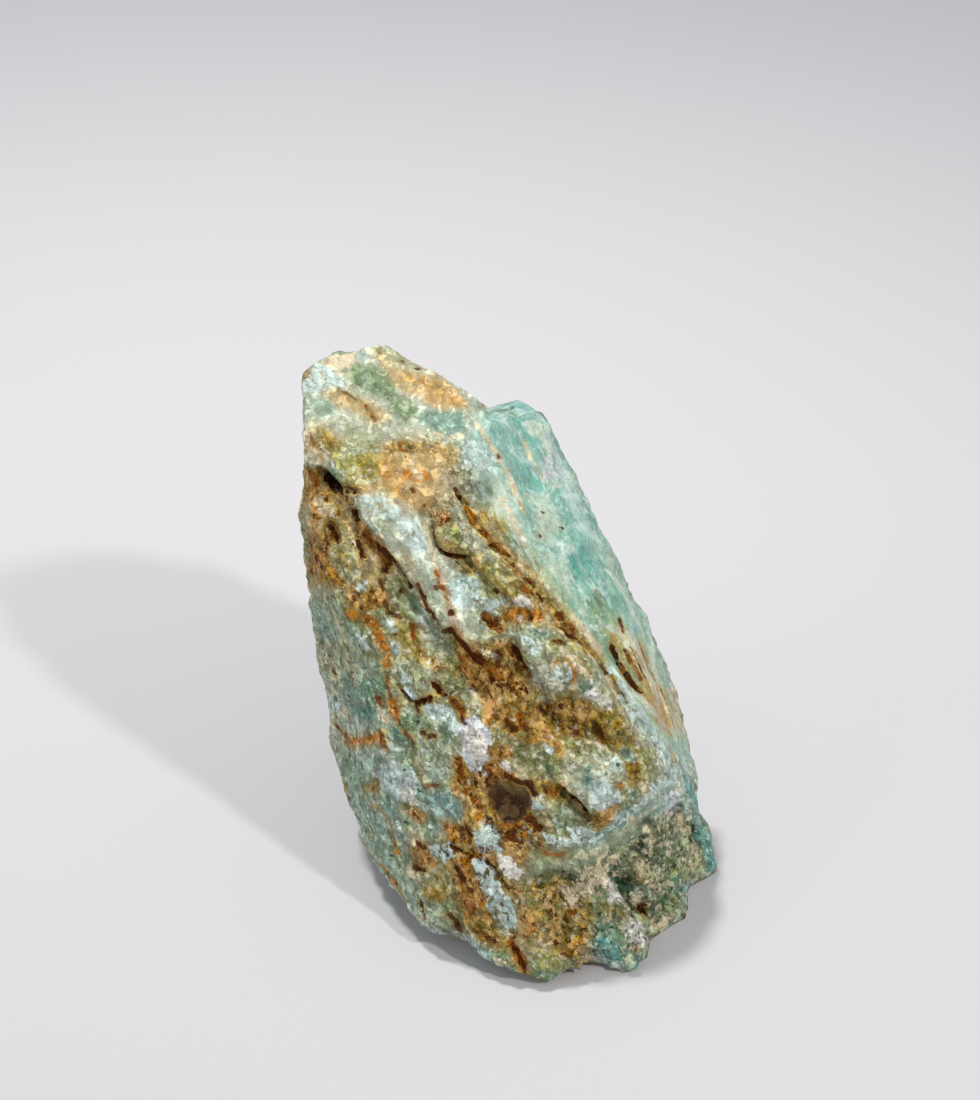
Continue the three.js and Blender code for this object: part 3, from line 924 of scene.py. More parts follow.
    "lower left": """
sea .5 area 352,820 400,828 410,850 440,846 470,880 450,940 400,905 370,858
mist .7 .7 355,820 364,838 375,855
umber .8 .32 369,832
moss .6 area 370,840 396,842 396,860 374,860
orange .8 .4 388,820 392,835 396,852
cream .85 .6 370,858 380,872 392,885 398,895
orange .85 .42 381,862 390,875 398,888 404,903
deep .7 .5 404,832 406,846 408,860
cream .8 .9 412,834 418,846
cream .75 .8 407,870 413,876
umber .8 .5 419,842
rust .6 area 412,845 436,846 436,870 414,868
tan .5 .8 418,852 430,862
umber .85 .35 415,869 425,870
rust .85 area 440,820 468,826 474,842 450,842
ochre .6 .6 448,828 462,836
ice .95 area 431,842 450,841 461,856 448,863 436,859
soot .9 .25 442,848 449,855
soot .8 .25 452,846 462,852 472,856
rust .95 area 448,860 462,855 482,852 480,862 468,866 476,880 488,895 481,906 462,896 454,878
umber .7 .45 458,868 464,880
umber .7 .4 470,890
orange .6 .5 474,858
orange .75 area 458,896 486,897 488,926 466,924
peach .6 .6 474,908 480,918
lime .85 area 420,879 440,874 453,885 451,899 435,903 421,896
olive .7 .8 428,892 440,896
sea .8 .9 442,908 456,914
ice .85 .8 405,905 420,918 440,932 456,938
cream .6 .4 410,910 428,924
soot 1 .35 420,904 422,911 424,919
umber .8 .55 450,916 462,930
olive .9 area 470,920 490,929 506,935 500,949 485,946 472,933
rust .6 .5 482,932 494,940
ice .9 area 462,927 475,940 486,952 478,951 465,941 / 472,859 485,859 500,884 513,905 519,925 505,933
  491,915 487,896 478,881
sky .6 .8 494,902 506,924
soot .6 .22 485,862 495,870 502,880 508,890
white .95 area 499,854 512,854 523,870 516,881 503,873
umber .9 .4 505,848
rust .8 .3 503,868
rust .8 .28 496,857
rust .8 area 510,840 527,842 527,868 516,866
rust .75 .3 508,888 520,890
mist .8 .8 506,930 520,950
orange .7 .7 510,942 518,955 525,972
rust .9 .4 512,945 518,955 524,970
umber .9 .4 514,937
cream .85 .7 500,962 515,975 530,979
ice .7 .8 478,952 492,962
""",
    # The white dot at 485,775 on the smoky crystal is a painted highlight.
    "round the smoky crystal": """
khaki .7 area 462,772 482,776 488,826 464,824
rust .8 .5 458,760 462,776 464,792
ochre .8 area 474,804 494,806 497,822 476,822
rust .8 .5 468,790 476,802 484,812
tan .7 .5 466,808 476,816
orange .6 .6 480,816
rust .85 area 499,826 515,823 541,826 546,846 534,852 505,847
umber .65 area 476,772 490,764 500,770 520,778 536,786 540,800 532,806 528,792 510,784 492,780 484,790
  474,790
umber .7 area 486,812 500,826 520,826 532,816 538,828 524,840 500,838 484,826
umber .85 .45 514,780 530,784
umber .85 .55 528,817 540,829
umber .8 .45 508,836 520,842
orange .7 .5 524,836
cream .7 .4 536,840
ice .95 area 530,798 543,795 544,810 538,814 530,804
smoke 1 area 482,768 488,762 498,769 498,786 487,788 / 489,790 495,783 510,784 525,790 530,800 527,815
  518,823 500,825 491,812 487,800
dusk .9 area 493,793 512,790 524,802 520,820 502,822 492,808
white .9 .35 485,775
ice .95 area 475,829 490,823 500,834 501,851 480,852 / 545,833 560,835 571,848 550,852
ice .9 area 567,827 585,827 599,840 575,847
ice .8 area 589,830 603,840 604,862 572,866 578,850
""",
    # The deep line from 545,878 to 580,878, at the foot of the ledge, is painted shadow under the ledge.
    "broken face": """
sage .6 area 530,845 600,845 640,815 700,815 716,868 690,890 672,922 640,970 560,975 535,970 528,900
rust .7 .35 545,852 556,855 565,852
cream .5 .8 580,856 596,852
ochre .8 area 532,888 560,884 590,900 592,950 560,955 540,930
ochre .9 area 530,890 560,886 580,892 588,930 580,950 560,955 546,930 534,915
olive .9 area 530,885 545,879 558,875 576,885 565,896 560,906 545,901 531,898
deep .8 .6 545,878 555,873 565,875 580,878
orange .95 area 522,914 530,909 538,918 536,931 527,933
tan .8 .7 537,907 544,909
tan .85 .5 545,912 550,919 555,925 558,936
moss .85 area 537,912 545,914 551,930 545,936 540,926
olive .85 area 558,894 588,898 592,924 562,922
ochre .9 area 559,919 583,924 581,945 575,956 560,953 557,935
umber .9 .35 549,901
umber .9 .38 565,920
rust .9 .4 583,928
umber .7 .3 570,940
rust .6 .5 564,908 574,912
peach .9 area 532,934 555,937 558,953 539,951
lime .85 area 539,954 558,951 566,965 552,973 539,966
peach .8 area 574,944 590,954 599,961 575,962
cream .95 area 562,885 575,887 593,884 591,896 575,901 566,906
cream 1 area 572,880 590,868 606,856 620,850 622,862 606,880 590,892
white 1 area 612,878 622,874 628,892 624,906 614,902
cream 1 area 606,888 616,890 614,900 606,898
tan .6 .35 566,900 584,898
cream .9 area 581,868 605,859 616,880 605,891
white .85 area 604,880 618,879 623,901 610,906
sage .7 area 589,894 606,895 606,913 592,912
khaki .8 area 604,904 620,904 630,916 612,922
olive .5 .5 612,912 622,916
deep .8 area 628,884 664,884 664,916 634,914
pine .8 area 640,846 652,846 658,864 648,864 / 605,868 618,866 628,880 635,895 643,907 632,913 622,896
  614,881
teal .7 .6 614,872 624,886 634,902
ice .9 .45 636,892
ice .9 .35 643,890
ice .85 .35 643,901
ice .85 .32 651,900 / 655,911
soot 1 .45 643,910
deep .9 .45 630,864 634,882 646,884
straw .95 area 631,861 642,858 653,870 647,882 636,880
cream .9 .8 638,864 644,872
cream .9 .5 646,880 655,886 662,892 / 630,820 640,826 / 642,830 648,842 / 650,850 658,856 / 668,846 674,856
  / 680,858 688,868 694,876
cream .9 .6 676,812 684,822 690,832
cream .9 .35 634,892 / 640,898
pine .9 .5 634,848 644,856 / 646,900 652,906
pine .9 .6 622,884 630,896 636,904
pine .8 .5 664,836 670,846 / 686,836 690,846
moss .8 area 655,850 690,850 690,900 660,906
lime .6 .8 664,860 676,872
teal .75 area 672,879 690,879 686,896 671,891
sage .8 area 680,848 701,850 700,880 682,878
cream .6 .5 684,856 694,868
turquoise .9 area 702,849 712,859 717,869 706,873
cream .6 area 640,816 690,813 700,828 676,840 650,846
tan .7 .6 652,826 666,832
moss .7 .6 672,824 686,832
deep .8 area 635,838 647,837 646,850 634,849
moss .7 .7 660,842 680,845
white 1 area 622,925 640,921 651,935 641,951 625,941
tan .5 .35 630,932 640,938
cream 1 area 648,922 666,915 668,930 655,938
rust .9 .4 636,947
sea .8 area 588,922 622,922 622,942 592,940
turquoise .85 area 585,940 605,939 621,945 623,966 604,963 589,952
ice .85 .7 600,958 616,964
teal .7 area 628,952 648,952 645,972 630,970
sage .7 area 646,934 672,924 666,944 648,956
ice .85 .5 690,880 687,890 683,900
moss .6 .6 668,902 680,908
turquoise .8 area 690,790 702,815 710,840 717,868 706,868 698,845 690,820
deep .75 area 634,822 650,812 664,822 676,840 672,862 654,868 640,850
pine .9 .5 644,819 650,822
pine .9 .6 639,849 642,856 / 646,862 652,866 / 622,876 628,884
soot 1 .5 642,908 646,911
pine .9 .6 631,889 636,898 / 670,811 674,818
pine .8 .5 668,826 676,832 / 683,852 688,860 / 616,915 620,920 / 600,915 604,919
umber .8 .4 563,916 566,920 / 549,911
umber .8 .35 570,930 / 556,942
cream 1 .6 644,829 646,833 / 649,838 652,842 / 666,843 668,848 / 680,836 / 668,917
cream 1 .55 652,851 / 637,841 / 658,907
cream 1 .75 679,817 682,822
cream 1 .7 685,824 688,830
cream 1 .65 693,846 695,852 / 657,873 660,878
cream .9 .55 671,853
white 1 .5 646,892 / 652,903
cream 1 .5 639,897
cream 1 .9 573,890 580,892 / 585,884 592,878
cream 1 .8 598,862 606,855
white 1 .7 612,885 616,896
straw .9 .6 600,905 608,908
cream .9 .5 544,905
peach .9 .5 556,912 560,920 / 546,926 552,932
""",
    # Of the wide tints over the marks, the smoke wash on the crown is painted shade on its strongly lit
    # top, the mist washes at the left edge are partly painted light on the left face, and the deep washes
    # on the broken face are partly its own darker green and partly painted shade below the ledge.
    "wide tints over the marks": """
turquoise .4 wash 485,395 550,395 575,450 610,540 590,590 540,540 500,480 455,440
turquoise .1 wash 540,540 600,540 660,640 700,760 650,740 590,640
smoke .18 wash 300,345 340,345 345,390 300,400
peach .45 wash 372,450 440,450 455,490 440,515 395,515 372,490
sage .4 wash 285,590 330,590 335,640 295,640
mist .55 wash 285,640 335,640 345,700 300,700
sea .22 wash 285,600 350,590 395,650 400,700 450,770 440,815 400,830 340,790 300,690
olive .22 wash 340,580 400,580 400,630 345,630
rust .4 wash 455,635 505,640 520,690 470,700 445,670
olive .33 wash 500,690 580,690 590,760 520,770 480,740
deep .17 wash 500,690 580,690 590,750 520,750
rust .2 wash 450,836 510,840 520,870 460,870
olive .25 wash 440,845 500,842 575,830 590,880 560,940 440,940 430,880
deep .22 wash 510,845 570,815 640,815 640,890 560,920 480,880
teal .08 wash 580,880 640,880 650,940 580,950
sage .2 wash 395,455 460,440 480,490 430,500
ice .25 wash 395,500 430,510 480,600 480,645 440,620 400,550
cream .22 wash 400,460 450,470 460,500 410,500
rust .12 wash 440,840 500,850 520,930 470,940 430,890
deep .12 wash 570,830 640,820 640,930 580,930
""",
}
# Where the stone is of another kind: how wide its border is in mm, and its outlines.
KINDS = {
    "slab": (1.5, [
        "487,404 525,398 550,420 592,510 625,575 660,640 690,730 690,770 655,735 610,690 565,615 520,560 "
        "480,510 470,450",
    ]),
    "broken": (1.5, [
        "530,884 560,872 600,868 640,836 685,800 700,830 714,868 690,890 672,922 640,970 600,963 560,970 "
        "540,930",
    ]),
    "quartz": (0.3, ["489,788 495,782 511,783 526,789 531,801 528,816 518,824 500,826 490,813 487,800"]),
    "calm": (1.0, [
        "302,400 308,362 330,350 378,345 400,352 470,392 485,412 500,450 430,438 380,442 345,450 303,430",
        "357,497 385,488 425,518 445,556 470,600 480,650 462,650 440,612 410,570 385,540 362,515",
        "508,866 560,846 610,832 650,800 680,790 684,800 640,836 600,864 560,870 530,882 515,880",
        "375,455 440,452 450,490 425,508 395,508 375,490",
    ]),
}
# How far the borders between the kinds wander.
KIND_RAGGED = 0.3


def ground():
    """The blue-green that the whole stone has."""
    wide = noise_field(POINTS, size=12, stretch=1.5, octaves=3, seed=1)
    middle = noise_field(POINTS, size=4.5, stretch=2.5, octaves=4, seed=2)
    local = noise_field(POINTS, size=2.2, stretch=2.0, octaves=3, seed=3)
    blend("haze", np.ones(len(POINTS)))
    blend("mist", 0.8 * smooth(-0.15, 0.4, wide + 0.6 * middle))
    blend("sea", 0.8 * smooth(0.0, 0.45, 0.6 * middle - wide))
    blend("moss", 0.7 * smooth(0.15, 0.5, local + 0.5 * middle - 0.4 * wide))
    blend("teal", 0.6 * smooth(0.15, 0.5, -local - 0.5 * middle - 0.3 * wide))
    blend("ice", 0.7 * smooth(0.2, 0.5, local - 0.6 * middle + 0.4 * wide))


def weathering(share):
    """Stains along wandering seams and in patches, where share is above 0."""
    seam = np.abs(noise_field(POINTS, size=15, stretch=1.8, octaves=3, seed=31))
    patchy = noise_field(POINTS, size=6, stretch=1.5, octaves=3, seed=32)
    gap = seam - 0.15 * patchy
    blend("cream", share * 0.8 * smooth(0.1, 0.4, patchy))
    blend("lime", share * 0.7 * smooth(0.15, 0.4, -patchy - 0.3 * seam))
    blend("tan", share * 0.85 * smooth(0.16, 0.08, gap))
    blend("orange", share * 0.8 * smooth(0.1, 0.03, gap + 0.1 * RAGGED))
    blend("olive", share * 0.7 * smooth(0.0, 0.3, patchy) * smooth(0.2, 0.1, gap))
    blend("umber", share * 0.85 * smooth(0.04, -0.01, gap + 0.08 * RAGGED))
    blend("white", share * 0.8 * smooth(0.35, 0.5, patchy + 0.3 * RAGGED))


def kind_of_stone(border, outlines):
    """How far each point is of a kind of stone, from 0 to 1."""
    found = np.zeros(len(POINTS))
    for outline in outlines:
        inside = depth_inside(pixels_of(outline.split()), PIXELS) + KIND_RAGGED * RAGGED
        found += smooth(-border, border, inside) * IN_FRONT
    return found


ground()
weathering(1 - smooth(0.0, 0.35, FACING))
for marks in MARKS.values():
    paint(marks)
MASKS = {name: kind_of_stone(*kind) for name, kind in KINDS.items()}

# ---- relief

# The edges of a cut or a rise wander by this share of its half width.
EDGE_WANDER = 0.3
BLOCK_SEED_STEP = 7.7
# The tilt of a block is drawn at its spot times this.
TILT_SCALE = 9.1
# How far a block stands in or out, against its tilt.
BLOCK_OFFSET = 0.5


def along_lines(lines):
    """The rounded ridges along named lines, in mm."""
    height = np.zeros(len(POINTS))
    for half_width, depth, pixels in lines.values():
        course = pixels_of(pixels.split())
        where = close_to(course, half_width)
        gap = distance_to(trace(course), POINTS[where]) + RAGGED[where] * half_width * EDGE_WANDER
        reach = np.clip(1 - gap / half_width, 0, 1)
        height[where] = np.maximum(height[where], depth * reach * (2 - reach))
    return height


def blocks(size, seed):
    """The stepped facets of broken feldspar: each cell of a scatter of blocks has its own tilted face."""
    scaled = POINTS / (size * MM) + seed * BLOCK_SEED_STEP
    heights = []
    for p in scaled.tolist():
        spot = noise.voronoi(p)[1][0]
        tilt = noise.cell_vector(spot * TILT_SCALE)
        heights.append((Vector(p) - spot).dot(tilt) + BLOCK_OFFSET * tilt.x)
    return np.array(heights)


def relief():
    """How far each point of the stone is moved out, in mm."""
    rough = noise_field(POINTS, size=3.0, stretch=1.6, octaves=4, seed=11)
    creases = np.abs(noise_field(POINTS, size=5.0, stretch=3.0, octaves=4, seed=14))
    crests = np.abs(noise_field(POINTS, size=3.2, stretch=1.5, octaves=3, seed=15))
    layers = noise_field(POINTS, size=1.8, stretch=7.0, octaves=3, seed=13)
    calm = np.maximum(MASKS["slab"] * 0.75, MASKS["quartz"])
    height = 0.3 * rough * (1 - 0.6 * calm)
    height += 0.9 * np.minimum(creases, 0.35) * (1 - calm)
    height -= (0.5 + 0.6 * STAIN) * np.minimum(crests, 0.3) * (1 - calm)
    height += (0.12 + 0.16 * MASKS["slab"]) * layers * (1 - MASKS["quartz"])
    height += (0.2 + 0.6 * MASKS["broken"]) * blocks(size=2.6, seed=1) * (1 - calm)
    height += (0.12 + 0.3 * MASKS["broken"]) * blocks(size=1.2, seed=2) * (1 - calm)
    height -= 0.6 * MASKS["quartz"] + 0.15
    return height - along_lines(CUTS) + along_lines(RISES)


# The relief fades out towards the flat that the stone rests on, over this height.
BASE_FADE = 1.5 * MM
HEIGHT = relief() * smooth(0.0, BASE_FADE, POINTS[:, 2])
SHAPED = POINTS + NORMALS * (HEIGHT * MM)[:, None]
SHAPED[:, 2] = np.maximum(SHAPED[:, 2], 0)
MESH.vertices.foreach_set("co", SHAPED.astype(np.float32).ravel())
MASKS["stain"] = STAIN
MASKS["edge"] = EDGE
for name, values in MASKS.items():
    attribute = MESH.attributes.new(name, "FLOAT", "POINT")
    attribute.data.foreach_set("value", np.clip(values, 0, 1).astype(np.float32))
for name, shades in (("tint", TINT), ("mark", MARK)):
    attribute = MESH.attributes.new(name, "FLOAT_COLOR", "POINT")
    opaque = np.column_stack([shades, np.ones(len(shades))])
    attribute.data.foreach_set("color", opaque.astype(np.float32).ravel())
MESH.polygons.foreach_set("use_smooth", [True] * len(MESH.polygons))
MESH.update()

# ---- material


class Nodes:
    """Makes the nodes of a material and links them, so that a material reads as a formula."""

    def __init__(self, name):
        self.material = bpy.data.materials.new(name)
        self.material.use_nodes = True
        self.tree = self.material.node_tree
        self.shader = self.tree.nodes["Principled BSDF"]

    def make(self, kind, inputs=(), **settings):
        node = self.tree.nodes.new(kind)
        for key, value in settings.items():
            setattr(node, key, value)
        for key, value in dict(inputs).items():
            self.put(value, node.inputs[key])
        return node

    def put(self, value, socket):
        if isinstance(value, bpy.types.NodeSocket):
            self.tree.links.new(value, socket)
        else:
            socket.default_value = value

    def attribute(self, name, output="Color"):
        return self.make("ShaderNodeAttribute", attribute_name=name).outputs[output]

    def mask(self, name):
        return self.attribute(name, "Fac")

    def math(self, operation, a, b=0.0):
        return self.make("ShaderNodeMath", {0: a, 1: b}, operation=operation).outputs[0]

    def add(self, a, b):
        return self.math("ADD", a, b)

    def times(self, a, b):
        return self.math("MULTIPLY", a, b)

    def without(self, share):
        return self.math("SUBTRACT", 1.0, share)

    def fit(self, value, low, high, to_low=0.0, to_high=1.0):
        inputs = {"Value": value, "From Min": low, "From Max": high, "To Min": to_low, "To Max": to_high}
        node = self.make("ShaderNodeMapRange", inputs, interpolation_type="SMOOTHSTEP")
        return node.outputs["Result"]

    def noise(self, where, scale, detail=3.0, roughness=0.6):
        inputs = {"Vector": where, "Scale": scale, "Detail": detail, "Roughness": roughness}
        return self.make("ShaderNodeTexNoise", inputs).outputs[0]

    def mix(self, share, a, b, blend="MIX"):
        node = self.make("ShaderNodeMix", data_type="RGBA", blend_type=blend)
        self.put(share, node.inputs[0])
        self.put(a, node.inputs[6])
        self.put(b, node.inputs[7])
        return node.outputs[2]

    def mix_of(self, share, a, b):
        """The value a, or b as the share goes up to 1."""
        return self.make("ShaderNodeMix", {0: share, 2: a, 3: b}, data_type="FLOAT").outputs[0]

    def ramp(self, value, stops):
        node = self.make("ShaderNodeValToRGB", {"Fac": value})
        elements = node.color_ramp.elements
        elements[0].position, elements[0].color = stops[0]
        elements[1].position, elements[1].color = stops[-1]
        for position, shade in stops[1:-1]:
            elements.new(position).color = shade
        return node.outputs["Color"]

    def total(self, *parts, middle=0.0):
        """The sum of values times their weights, each value taken from the middle."""
        found = -middle * sum(weight for _, weight in parts)
        for value, weight in parts:
            node = self.make("ShaderNodeMath", {0: value, 1: weight, 2: found}, operation="MULTIPLY_ADD")
            found = node.outputs[0]
        return found

    def vector(self, operation, a, b, output=0):
        return self.make("ShaderNodeVectorMath", {0: a, 1: b}, operation=operation).outputs[output]

    def scale(self, vector, factor):
        inputs = {0: vector, "Scale": factor}
        return self.make("ShaderNodeVectorMath", inputs, operation="SCALE").outputs[0]

    def facets(self, where, size):
        """Broken crystals of a size in mm: a random value for each, and its tilted face's height."""
        scaled = self.scale(where, 1 / size)
        cells = self.make("ShaderNodeTexVoronoi", {"Vector": scaled, "Scale": 1.0})
        spread = self.vector("ADD", cells.outputs["Color"], (-0.5, -0.5, -0.5))
        offset = self.vector("SUBTRACT", scaled, cells.outputs["Position"])
        height = self.vector("DOT_PRODUCT", offset, spread, "Value")
        chance = self.make("ShaderNodeSeparateColor", {0: cells.outputs["Color"]}).outputs[0]
        return chance, self.times(height, size)


def grain_places(n, stretch):
    """Places in mm, drawn out along the grain by stretch."""
    place = n.make("ShaderNodeTexCoord").outputs["Object"]
    parts = []
    shrinks = (stretch, 1 + (stretch - 1) * SIDEWAYS_STRETCH, 1)
    for direction, shrink in zip((ALONG, SIDEWAYS, ACROSS), shrinks):
        parts.append(n.vector("DOT_PRODUCT", place, Vector(direction) / (MM * shrink), "Value"))
    return n.make("ShaderNodeCombineXYZ", {0: parts[0], 1: parts[1], 2: parts[2]}).outputs[0]


def wavy(n, places, reach, scale):
    """Places pushed to and fro by noise, so that nothing made from them runs straight."""
    swing = n.make("ShaderNodeTexNoise", {"Vector": places, "Scale": scale, "Detail": 2.0})
    centred = n.vector("ADD", swing.outputs["Color"], (-0.5, -0.5, -0.5))
    return n.vector("ADD", places, n.scale(centred, 2 * reach))


def patterns(n):
    """The noises and facets that the relief and the colours are made of."""
    even = wavy(n, grain_places(n, 1.0), 0.3, 1.2)
    drawn = wavy(n, grain_places(n, 1.5), 0.4, 0.8)
    long = wavy(n, grain_places(n, 9.0), 0.25, 0.4)
    straight = grain_places(n, 18.0)
    _, block_height = n.facets(drawn, 1.5)
    chip, chip_height = n.facets(even, 0.6)
    return SimpleNamespace(
        block_height=block_height,
        chip=chip,
        chip_height=chip_height,
        small=n.noise(even, 1.2, 3, 0.5),
        fine=n.noise(even, 4.0, 3, 0.75),
        specks=n.noise(drawn, 1.1, 2, 0.5),
        pits=n.noise(even, 0.9, 1, 0.5),
        grit=n.noise(even, 1.3, 1, 0.5),
        clots=n.noise(drawn, 0.8, 3, 0.6),
        blotches=n.noise(drawn, 0.42, 3, 0.5),
        streaks=n.noise(long, 0.9, 3, 0.55),
        strands=n.noise(straight, 0.6, 3, 0.5),
        cracks=n.math("ABSOLUTE", n.total((n.noise(drawn, 0.5, 4, 0.6), 1.0), middle=0.5)),
    )


def kinds(n):
    """How much iron is in the stone, and where it is of another kind."""
    slab = n.mask("slab")
    quartz = n.mask("quartz")
    calm = n.math("MAXIMUM", n.times(slab, 0.7), quartz)
    calm = n.math("MAXIMUM", calm, n.times(n.mask("calm"), 0.7))
    return SimpleNamespace(
        stain=n.mask("stain"),
        slab=slab,
        broken=n.mask("broken"),
        quartz=quartz,
        calm=calm,
        uneven=n.without(n.times(calm, 0.8)),
    )


def crystal_height(n, p):
    """The height of the broken crystals in mm, with cracks between them."""
    height = n.total((p.block_height, 1.2), (p.chip_height, 1.0), (p.small, 0.6), (p.fine, 0.06))
    return n.add(height, n.fit(p.cracks, 0.0, 0.04, -0.25, 0.0))


def surface_height(n, p, k, crystals):
    """The height of the surface in mm: crystals, and ribs along the grain, strongest on the slab."""
    ribs = n.total((p.streaks, 1.0), (p.fine, 0.1), (p.chip_height, 0.2))
    return n.add(n.times(crystals, n.without(k.calm)), n.times(ribs, n.fit(k.slab, 0.0, 1.0, 0.2, 1.0)))


def painted_light_on_crystals(n, p, k, crystals):
    """Painted light and shade on the crystals: a factor on the colour that is darker in the hollows between
    them and lighter on their tops.
    """
    light = n.add(n.total((crystals, 1.0), (p.small, 0.6), (k.calm, -0.12)), 0.17)
    return n.math("MINIMUM", n.math("MAXIMUM", light, 0.6), 1.25)


def clear_stone(n, p, k, light):
    """The tints of the stone, multiplied by the painted light and shade of the crystals (less of it on the
    slab), with paler and darker blotches.
    """
    shade = n.mix(n.without(n.times(k.slab, 0.7)), n.attribute("tint"), light, "MULTIPLY")
    paler = n.mix(n.fit(k.stain, 0.0, 0.25), TONE_NODES["mist"], TONE_NODES["peach"])
    darker = n.mix(n.fit(k.stain, 0.2, 0.6), TONE_NODES["moss"], TONE_NODES["rust"])
    blotchy = n.times(k.uneven, n.fit(k.stain, 0.0, 0.4, 0.12, 0.45))
    shade = n.mix(n.times(n.fit(p.blotches, 0.52, 0.56), blotchy), shade, paler)
    return n.mix(n.times(n.fit(p.blotches, 0.47, 0.43), blotchy), shade, darker)


def with_streaks(n, p, k, shade):
    """The pale and dark streaks of the slab."""
    for pattern, low, high, share, tone in (
        (p.streaks, 0.55, 0.6, 0.45, "ice"),
        (p.streaks, 0.45, 0.4, 0.3, "teal"),
        (p.strands, 0.58, 0.63, 0.5, "mist"),
        (p.strands, 0.36, 0.32, 0.6, "deep"),
    ):
        shade = n.mix(n.times(n.fit(pattern, low, high), n.times(k.slab, share)), shade, TONE_NODES[tone])
    return shade


def with_iron(n, p, k, shade):
    """Clots of rust, the more the more iron there is."""
    iron = n.total((p.clots, 1.0), (p.small, 0.5), (k.stain, 0.35), middle=0.5)
    stops = [(0.25, TONE_NODES["tan"]), (0.5, TONE_NODES["orange"]), (0.7, TONE_NODES["rust"])]
    share = n.times(n.without(k.quartz), n.fit(k.stain, 0.05, 0.6, 0.0, 0.5))
    return n.mix(n.times(n.fit(iron, -0.12, 0.12), share), shade, n.ramp(n.add(iron, 0.5), stops))


def with_crumbs(n, p, k, shade):
    """Pale crumbs: icy in clear stone, cream on the broken face and peach in stains."""
    clear = n.mix(k.broken, TONE_NODES["ice"], TONE_NODES["cream"])
    tone = n.mix(n.fit(k.stain, 0.02, 0.25), clear, TONE_NODES["peach"])
    share = n.add(n.fit(k.stain, 0.0, 0.8, 0.35, 0.3), n.times(k.broken, 0.25))
    crumbs = n.fit(n.mix_of(k.broken, p.specks, p.pits), 0.57, 0.61)
    return n.mix(n.times(crumbs, n.times(k.uneven, share)), shade, tone)


def with_marks(n, p, light, shade):
    """The marks with a sharp edge, which is ragged by noise. Their colour takes part of the painted light
    and shade of the crystals.
    """
    ragged = n.total((p.specks, 0.9), (p.small, 0.6), (p.clots, 0.6), (p.fine, 0.25), middle=0.5)
    mark_in_painted_shade = n.mix(0.6, n.attribute("mark"), light, "MULTIPLY")
    return n.mix(n.fit(n.add(n.mask("edge"), ragged), 0.45, 0.57), shade, mark_in_painted_shade)


def with_pits(n, p, k, shade):
    """Worm-shaped pits and round holes: brown in stains and dark green in clear stone."""
    stained = n.fit(k.stain, 0.0, 0.3)
    green = n.mix(k.broken, TONE_NODES["deep"], TONE_NODES["pine"])
    depth = n.total((n.mix_of(k.broken, p.specks, p.grit), 1.0), (k.stain, -0.05))
    share = n.math("MAXIMUM", n.fit(k.stain, 0.1, 0.5, 0.35, 0.95), n.times(k.broken, 0.7))
    worms = n.times(n.times(n.fit(depth, 0.405, 0.375), share), k.uneven)
    shade = n.mix(worms, shade, n.mix(stained, green, TONE_NODES["umber"]))
    holes = n.times(n.fit(n.total((p.pits, 1.0), (p.clots, 0.3)), 0.4, 0.37), n.times(k.uneven, 0.85))
    return n.mix(holes, shade, n.mix(stained, TONE_NODES["pine"], TONE_NODES["umber"]))


def with_cracks(n, p, k, shade):
    """Brown lines in the cracks of stains, and a few rusty veins elsewhere."""
    lines = n.times(n.fit(p.cracks, 0.03, 0.01), n.fit(k.stain, 0.1, 0.5, 0.0, 0.8))
    shade = n.mix(n.times(lines, n.fit(p.small, 0.45, 0.53)), shade, TONE_NODES["umber"])
    veins = n.times(n.fit(p.cracks, 0.02, 0.006), n.fit(p.clots, 0.54, 0.62))
    return n.mix(n.times(n.times(veins, k.uneven), 0.7), shade, TONE_NODES["rust"])


def with_grains_and_glints(n, p, k, shade):
    """Single white grains in clear stone, which are partly painted glints."""
    grains = n.fit(n.total((p.chip, 1.0), (p.small, 0.8)), 1.32, 1.4)
    share = n.times(k.uneven, n.fit(k.stain, 0.6, 0.0))
    return n.mix(n.times(n.times(grains, share), 0.5), shade, TONE_NODES["white"])


def stone_material():
    n = Nodes("amazonite")
    p = patterns(n)
    k = kinds(n)
    crystals = crystal_height(n, p)
    # Painted light and shade of the crystals: darkens the colour in their hollows and lightens it on their
    # tops.
    light = painted_light_on_crystals(n, p, k, crystals)
    shade = with_streaks(n, p, k, clear_stone(n, p, k, light))
    shade = with_crumbs(n, p, k, with_iron(n, p, k, shade))
    shade = with_pits(n, p, k, with_marks(n, p, light, shade))
    shade = with_grains_and_glints(n, p, k, with_cracks(n, p, k, shade))
    rough = n.total((p.small, 0.5), (p.chip, 0.4), (k.stain, 0.3), middle=0.5)
    rough = n.math("SUBTRACT", n.add(rough, 0.45), n.times(k.quartz, 0.4))
    height = surface_height(n, p, k, crystals)
    bump = n.make("ShaderNodeBump", {"Height": height, "Distance": MM, "Strength": 1.0})
    for name, value in {
        "Base Color": shade,
        "Roughness": rough,
        "Normal": bump.outputs[0],
        "IOR": 1.53,
        "Specular IOR Level": 0.1,
        "Subsurface Weight": 0.12,
        "Subsurface Radius": (0.6, 1.0, 0.9),
        "Subsurface Scale": 0.6 * MM,
    }.items():
        n.put(value, n.shader.inputs[name])
    return n.material


MESH.materials.append(stone_material())
STONE = bpy.data.objects.new("amazonite_stone", MESH)
bpy.context.scene.collection.objects.link(STONE)
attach(STONE, "root")
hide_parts("amazonite")

# ---- floor and light

FLOOR_HALF = 3.0
# The middle of the pool of light painted on the floor.
FLOOR_PAINTED_LIGHT_SPOT = Vector((-0.05, 0.16, 0))


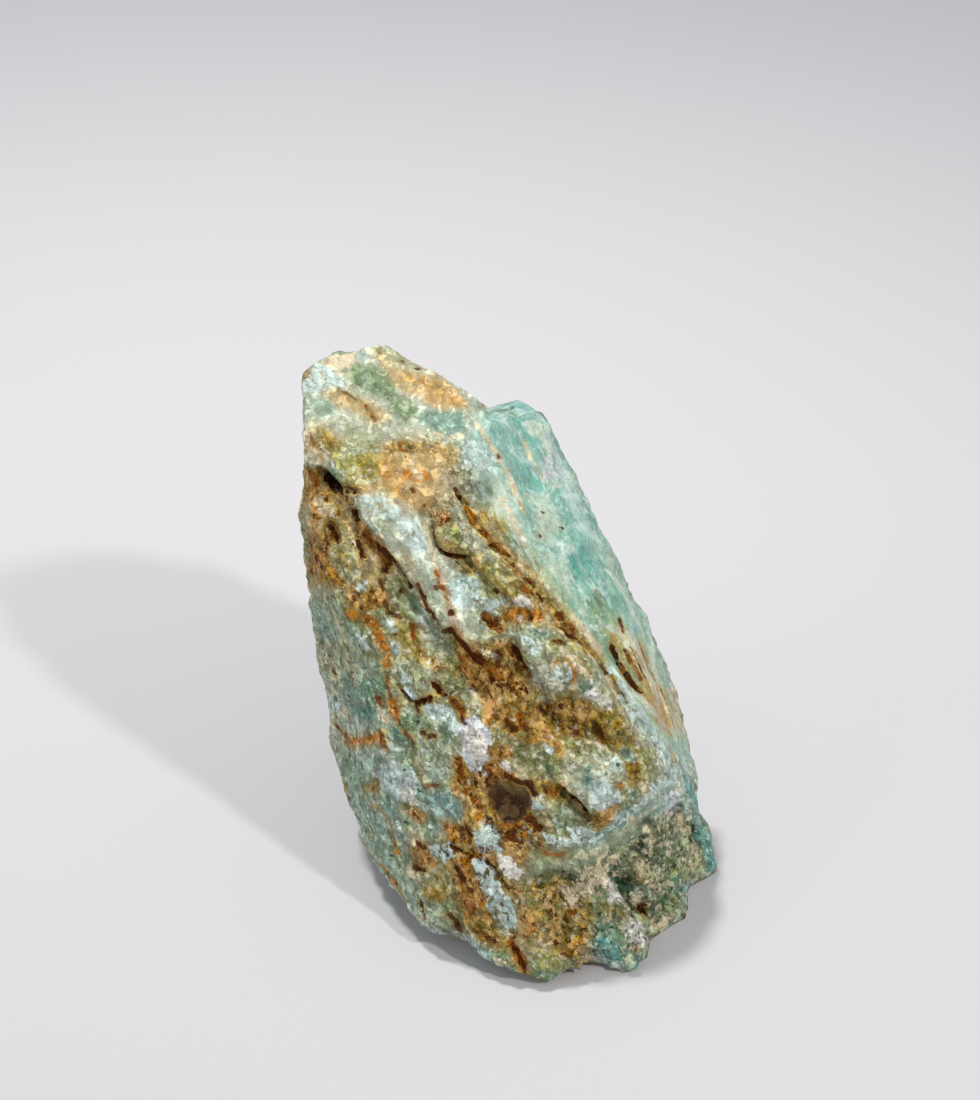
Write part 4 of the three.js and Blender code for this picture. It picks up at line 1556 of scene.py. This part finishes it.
def make_floor():
    """A wide sheet of pale paper with a painted pool of light: its colour is lightest at a spot behind the
    stone and darker away from it.
    """
    corners = [(-FLOOR_HALF, -FLOOR_HALF, 0), (FLOOR_HALF, -FLOOR_HALF, 0), (FLOOR_HALF, FLOOR_HALF, 0),
               (-FLOOR_HALF, FLOOR_HALF, 0)]
    mesh = bpy.data.meshes.new("floor")
    mesh.from_pydata(corners, [], [(0, 1, 2, 3)])
    floor = bpy.data.objects.new("floor", mesh)
    bpy.context.scene.collection.objects.link(floor)
    n = Nodes("floor")
    place = n.make("ShaderNodeTexCoord").outputs["Object"]
    gap = n.make("ShaderNodeVectorMath", {0: place, 1: FLOOR_PAINTED_LIGHT_SPOT}, operation="DISTANCE")
    distance = gap.outputs["Value"]
    # The paper's colour fades from that spot outwards: a painted pool of light.
    paper = n.ramp(n.fit(distance, 0.0, 0.4), [(0.0, colour(204, 203, 207)), (1.0, colour(180, 181, 187))])
    n.put(paper, n.shader.inputs["Base Color"])
    n.shader.inputs["Roughness"].default_value = 0.9
    n.shader.inputs["Specular IOR Level"].default_value = 0.2
    mesh.materials.append(n.material)


def make_lamp(name, towards, distance, size, watts, tint):
    data = bpy.data.lights.new(name, "AREA")
    data.shape = "DISK"
    data.size = size
    data.energy = watts
    data.color = tint
    lamp = bpy.data.objects.new(name, data)
    direction = Vector(towards).normalized()
    lamp.location = Vector((0, 0, 0.03)) + direction * distance
    lamp.rotation_euler = direction.to_track_quat("Z", "Y").to_euler()
    bpy.context.scene.collection.objects.link(lamp)


def make_sky(strength):
    world = bpy.data.worlds.new("studio")
    bpy.context.scene.world = world
    world.use_nodes = True
    background = world.node_tree.nodes["Background"]
    background.inputs["Color"].default_value = (0.97, 0.98, 1.0, 1)
    background.inputs["Strength"].default_value = strength


make_floor()
make_lamp("window", (0.8, -0.84, 1.12), 0.6, 0.04, 1.62, (1.0, 0.97, 0.9))
make_lamp("ceiling", (-0.28, 0.2, 1.0), 1.2, 0.15, 9.7, (1.0, 0.99, 0.95))
make_lamp("wall on the left", (-1.0, -0.5, 0.45), 1.5, 1.0, 3.0, (1.0, 0.98, 0.93))
make_sky(0.48)
bpy.context.scene.view_settings.view_transform = "Standard"
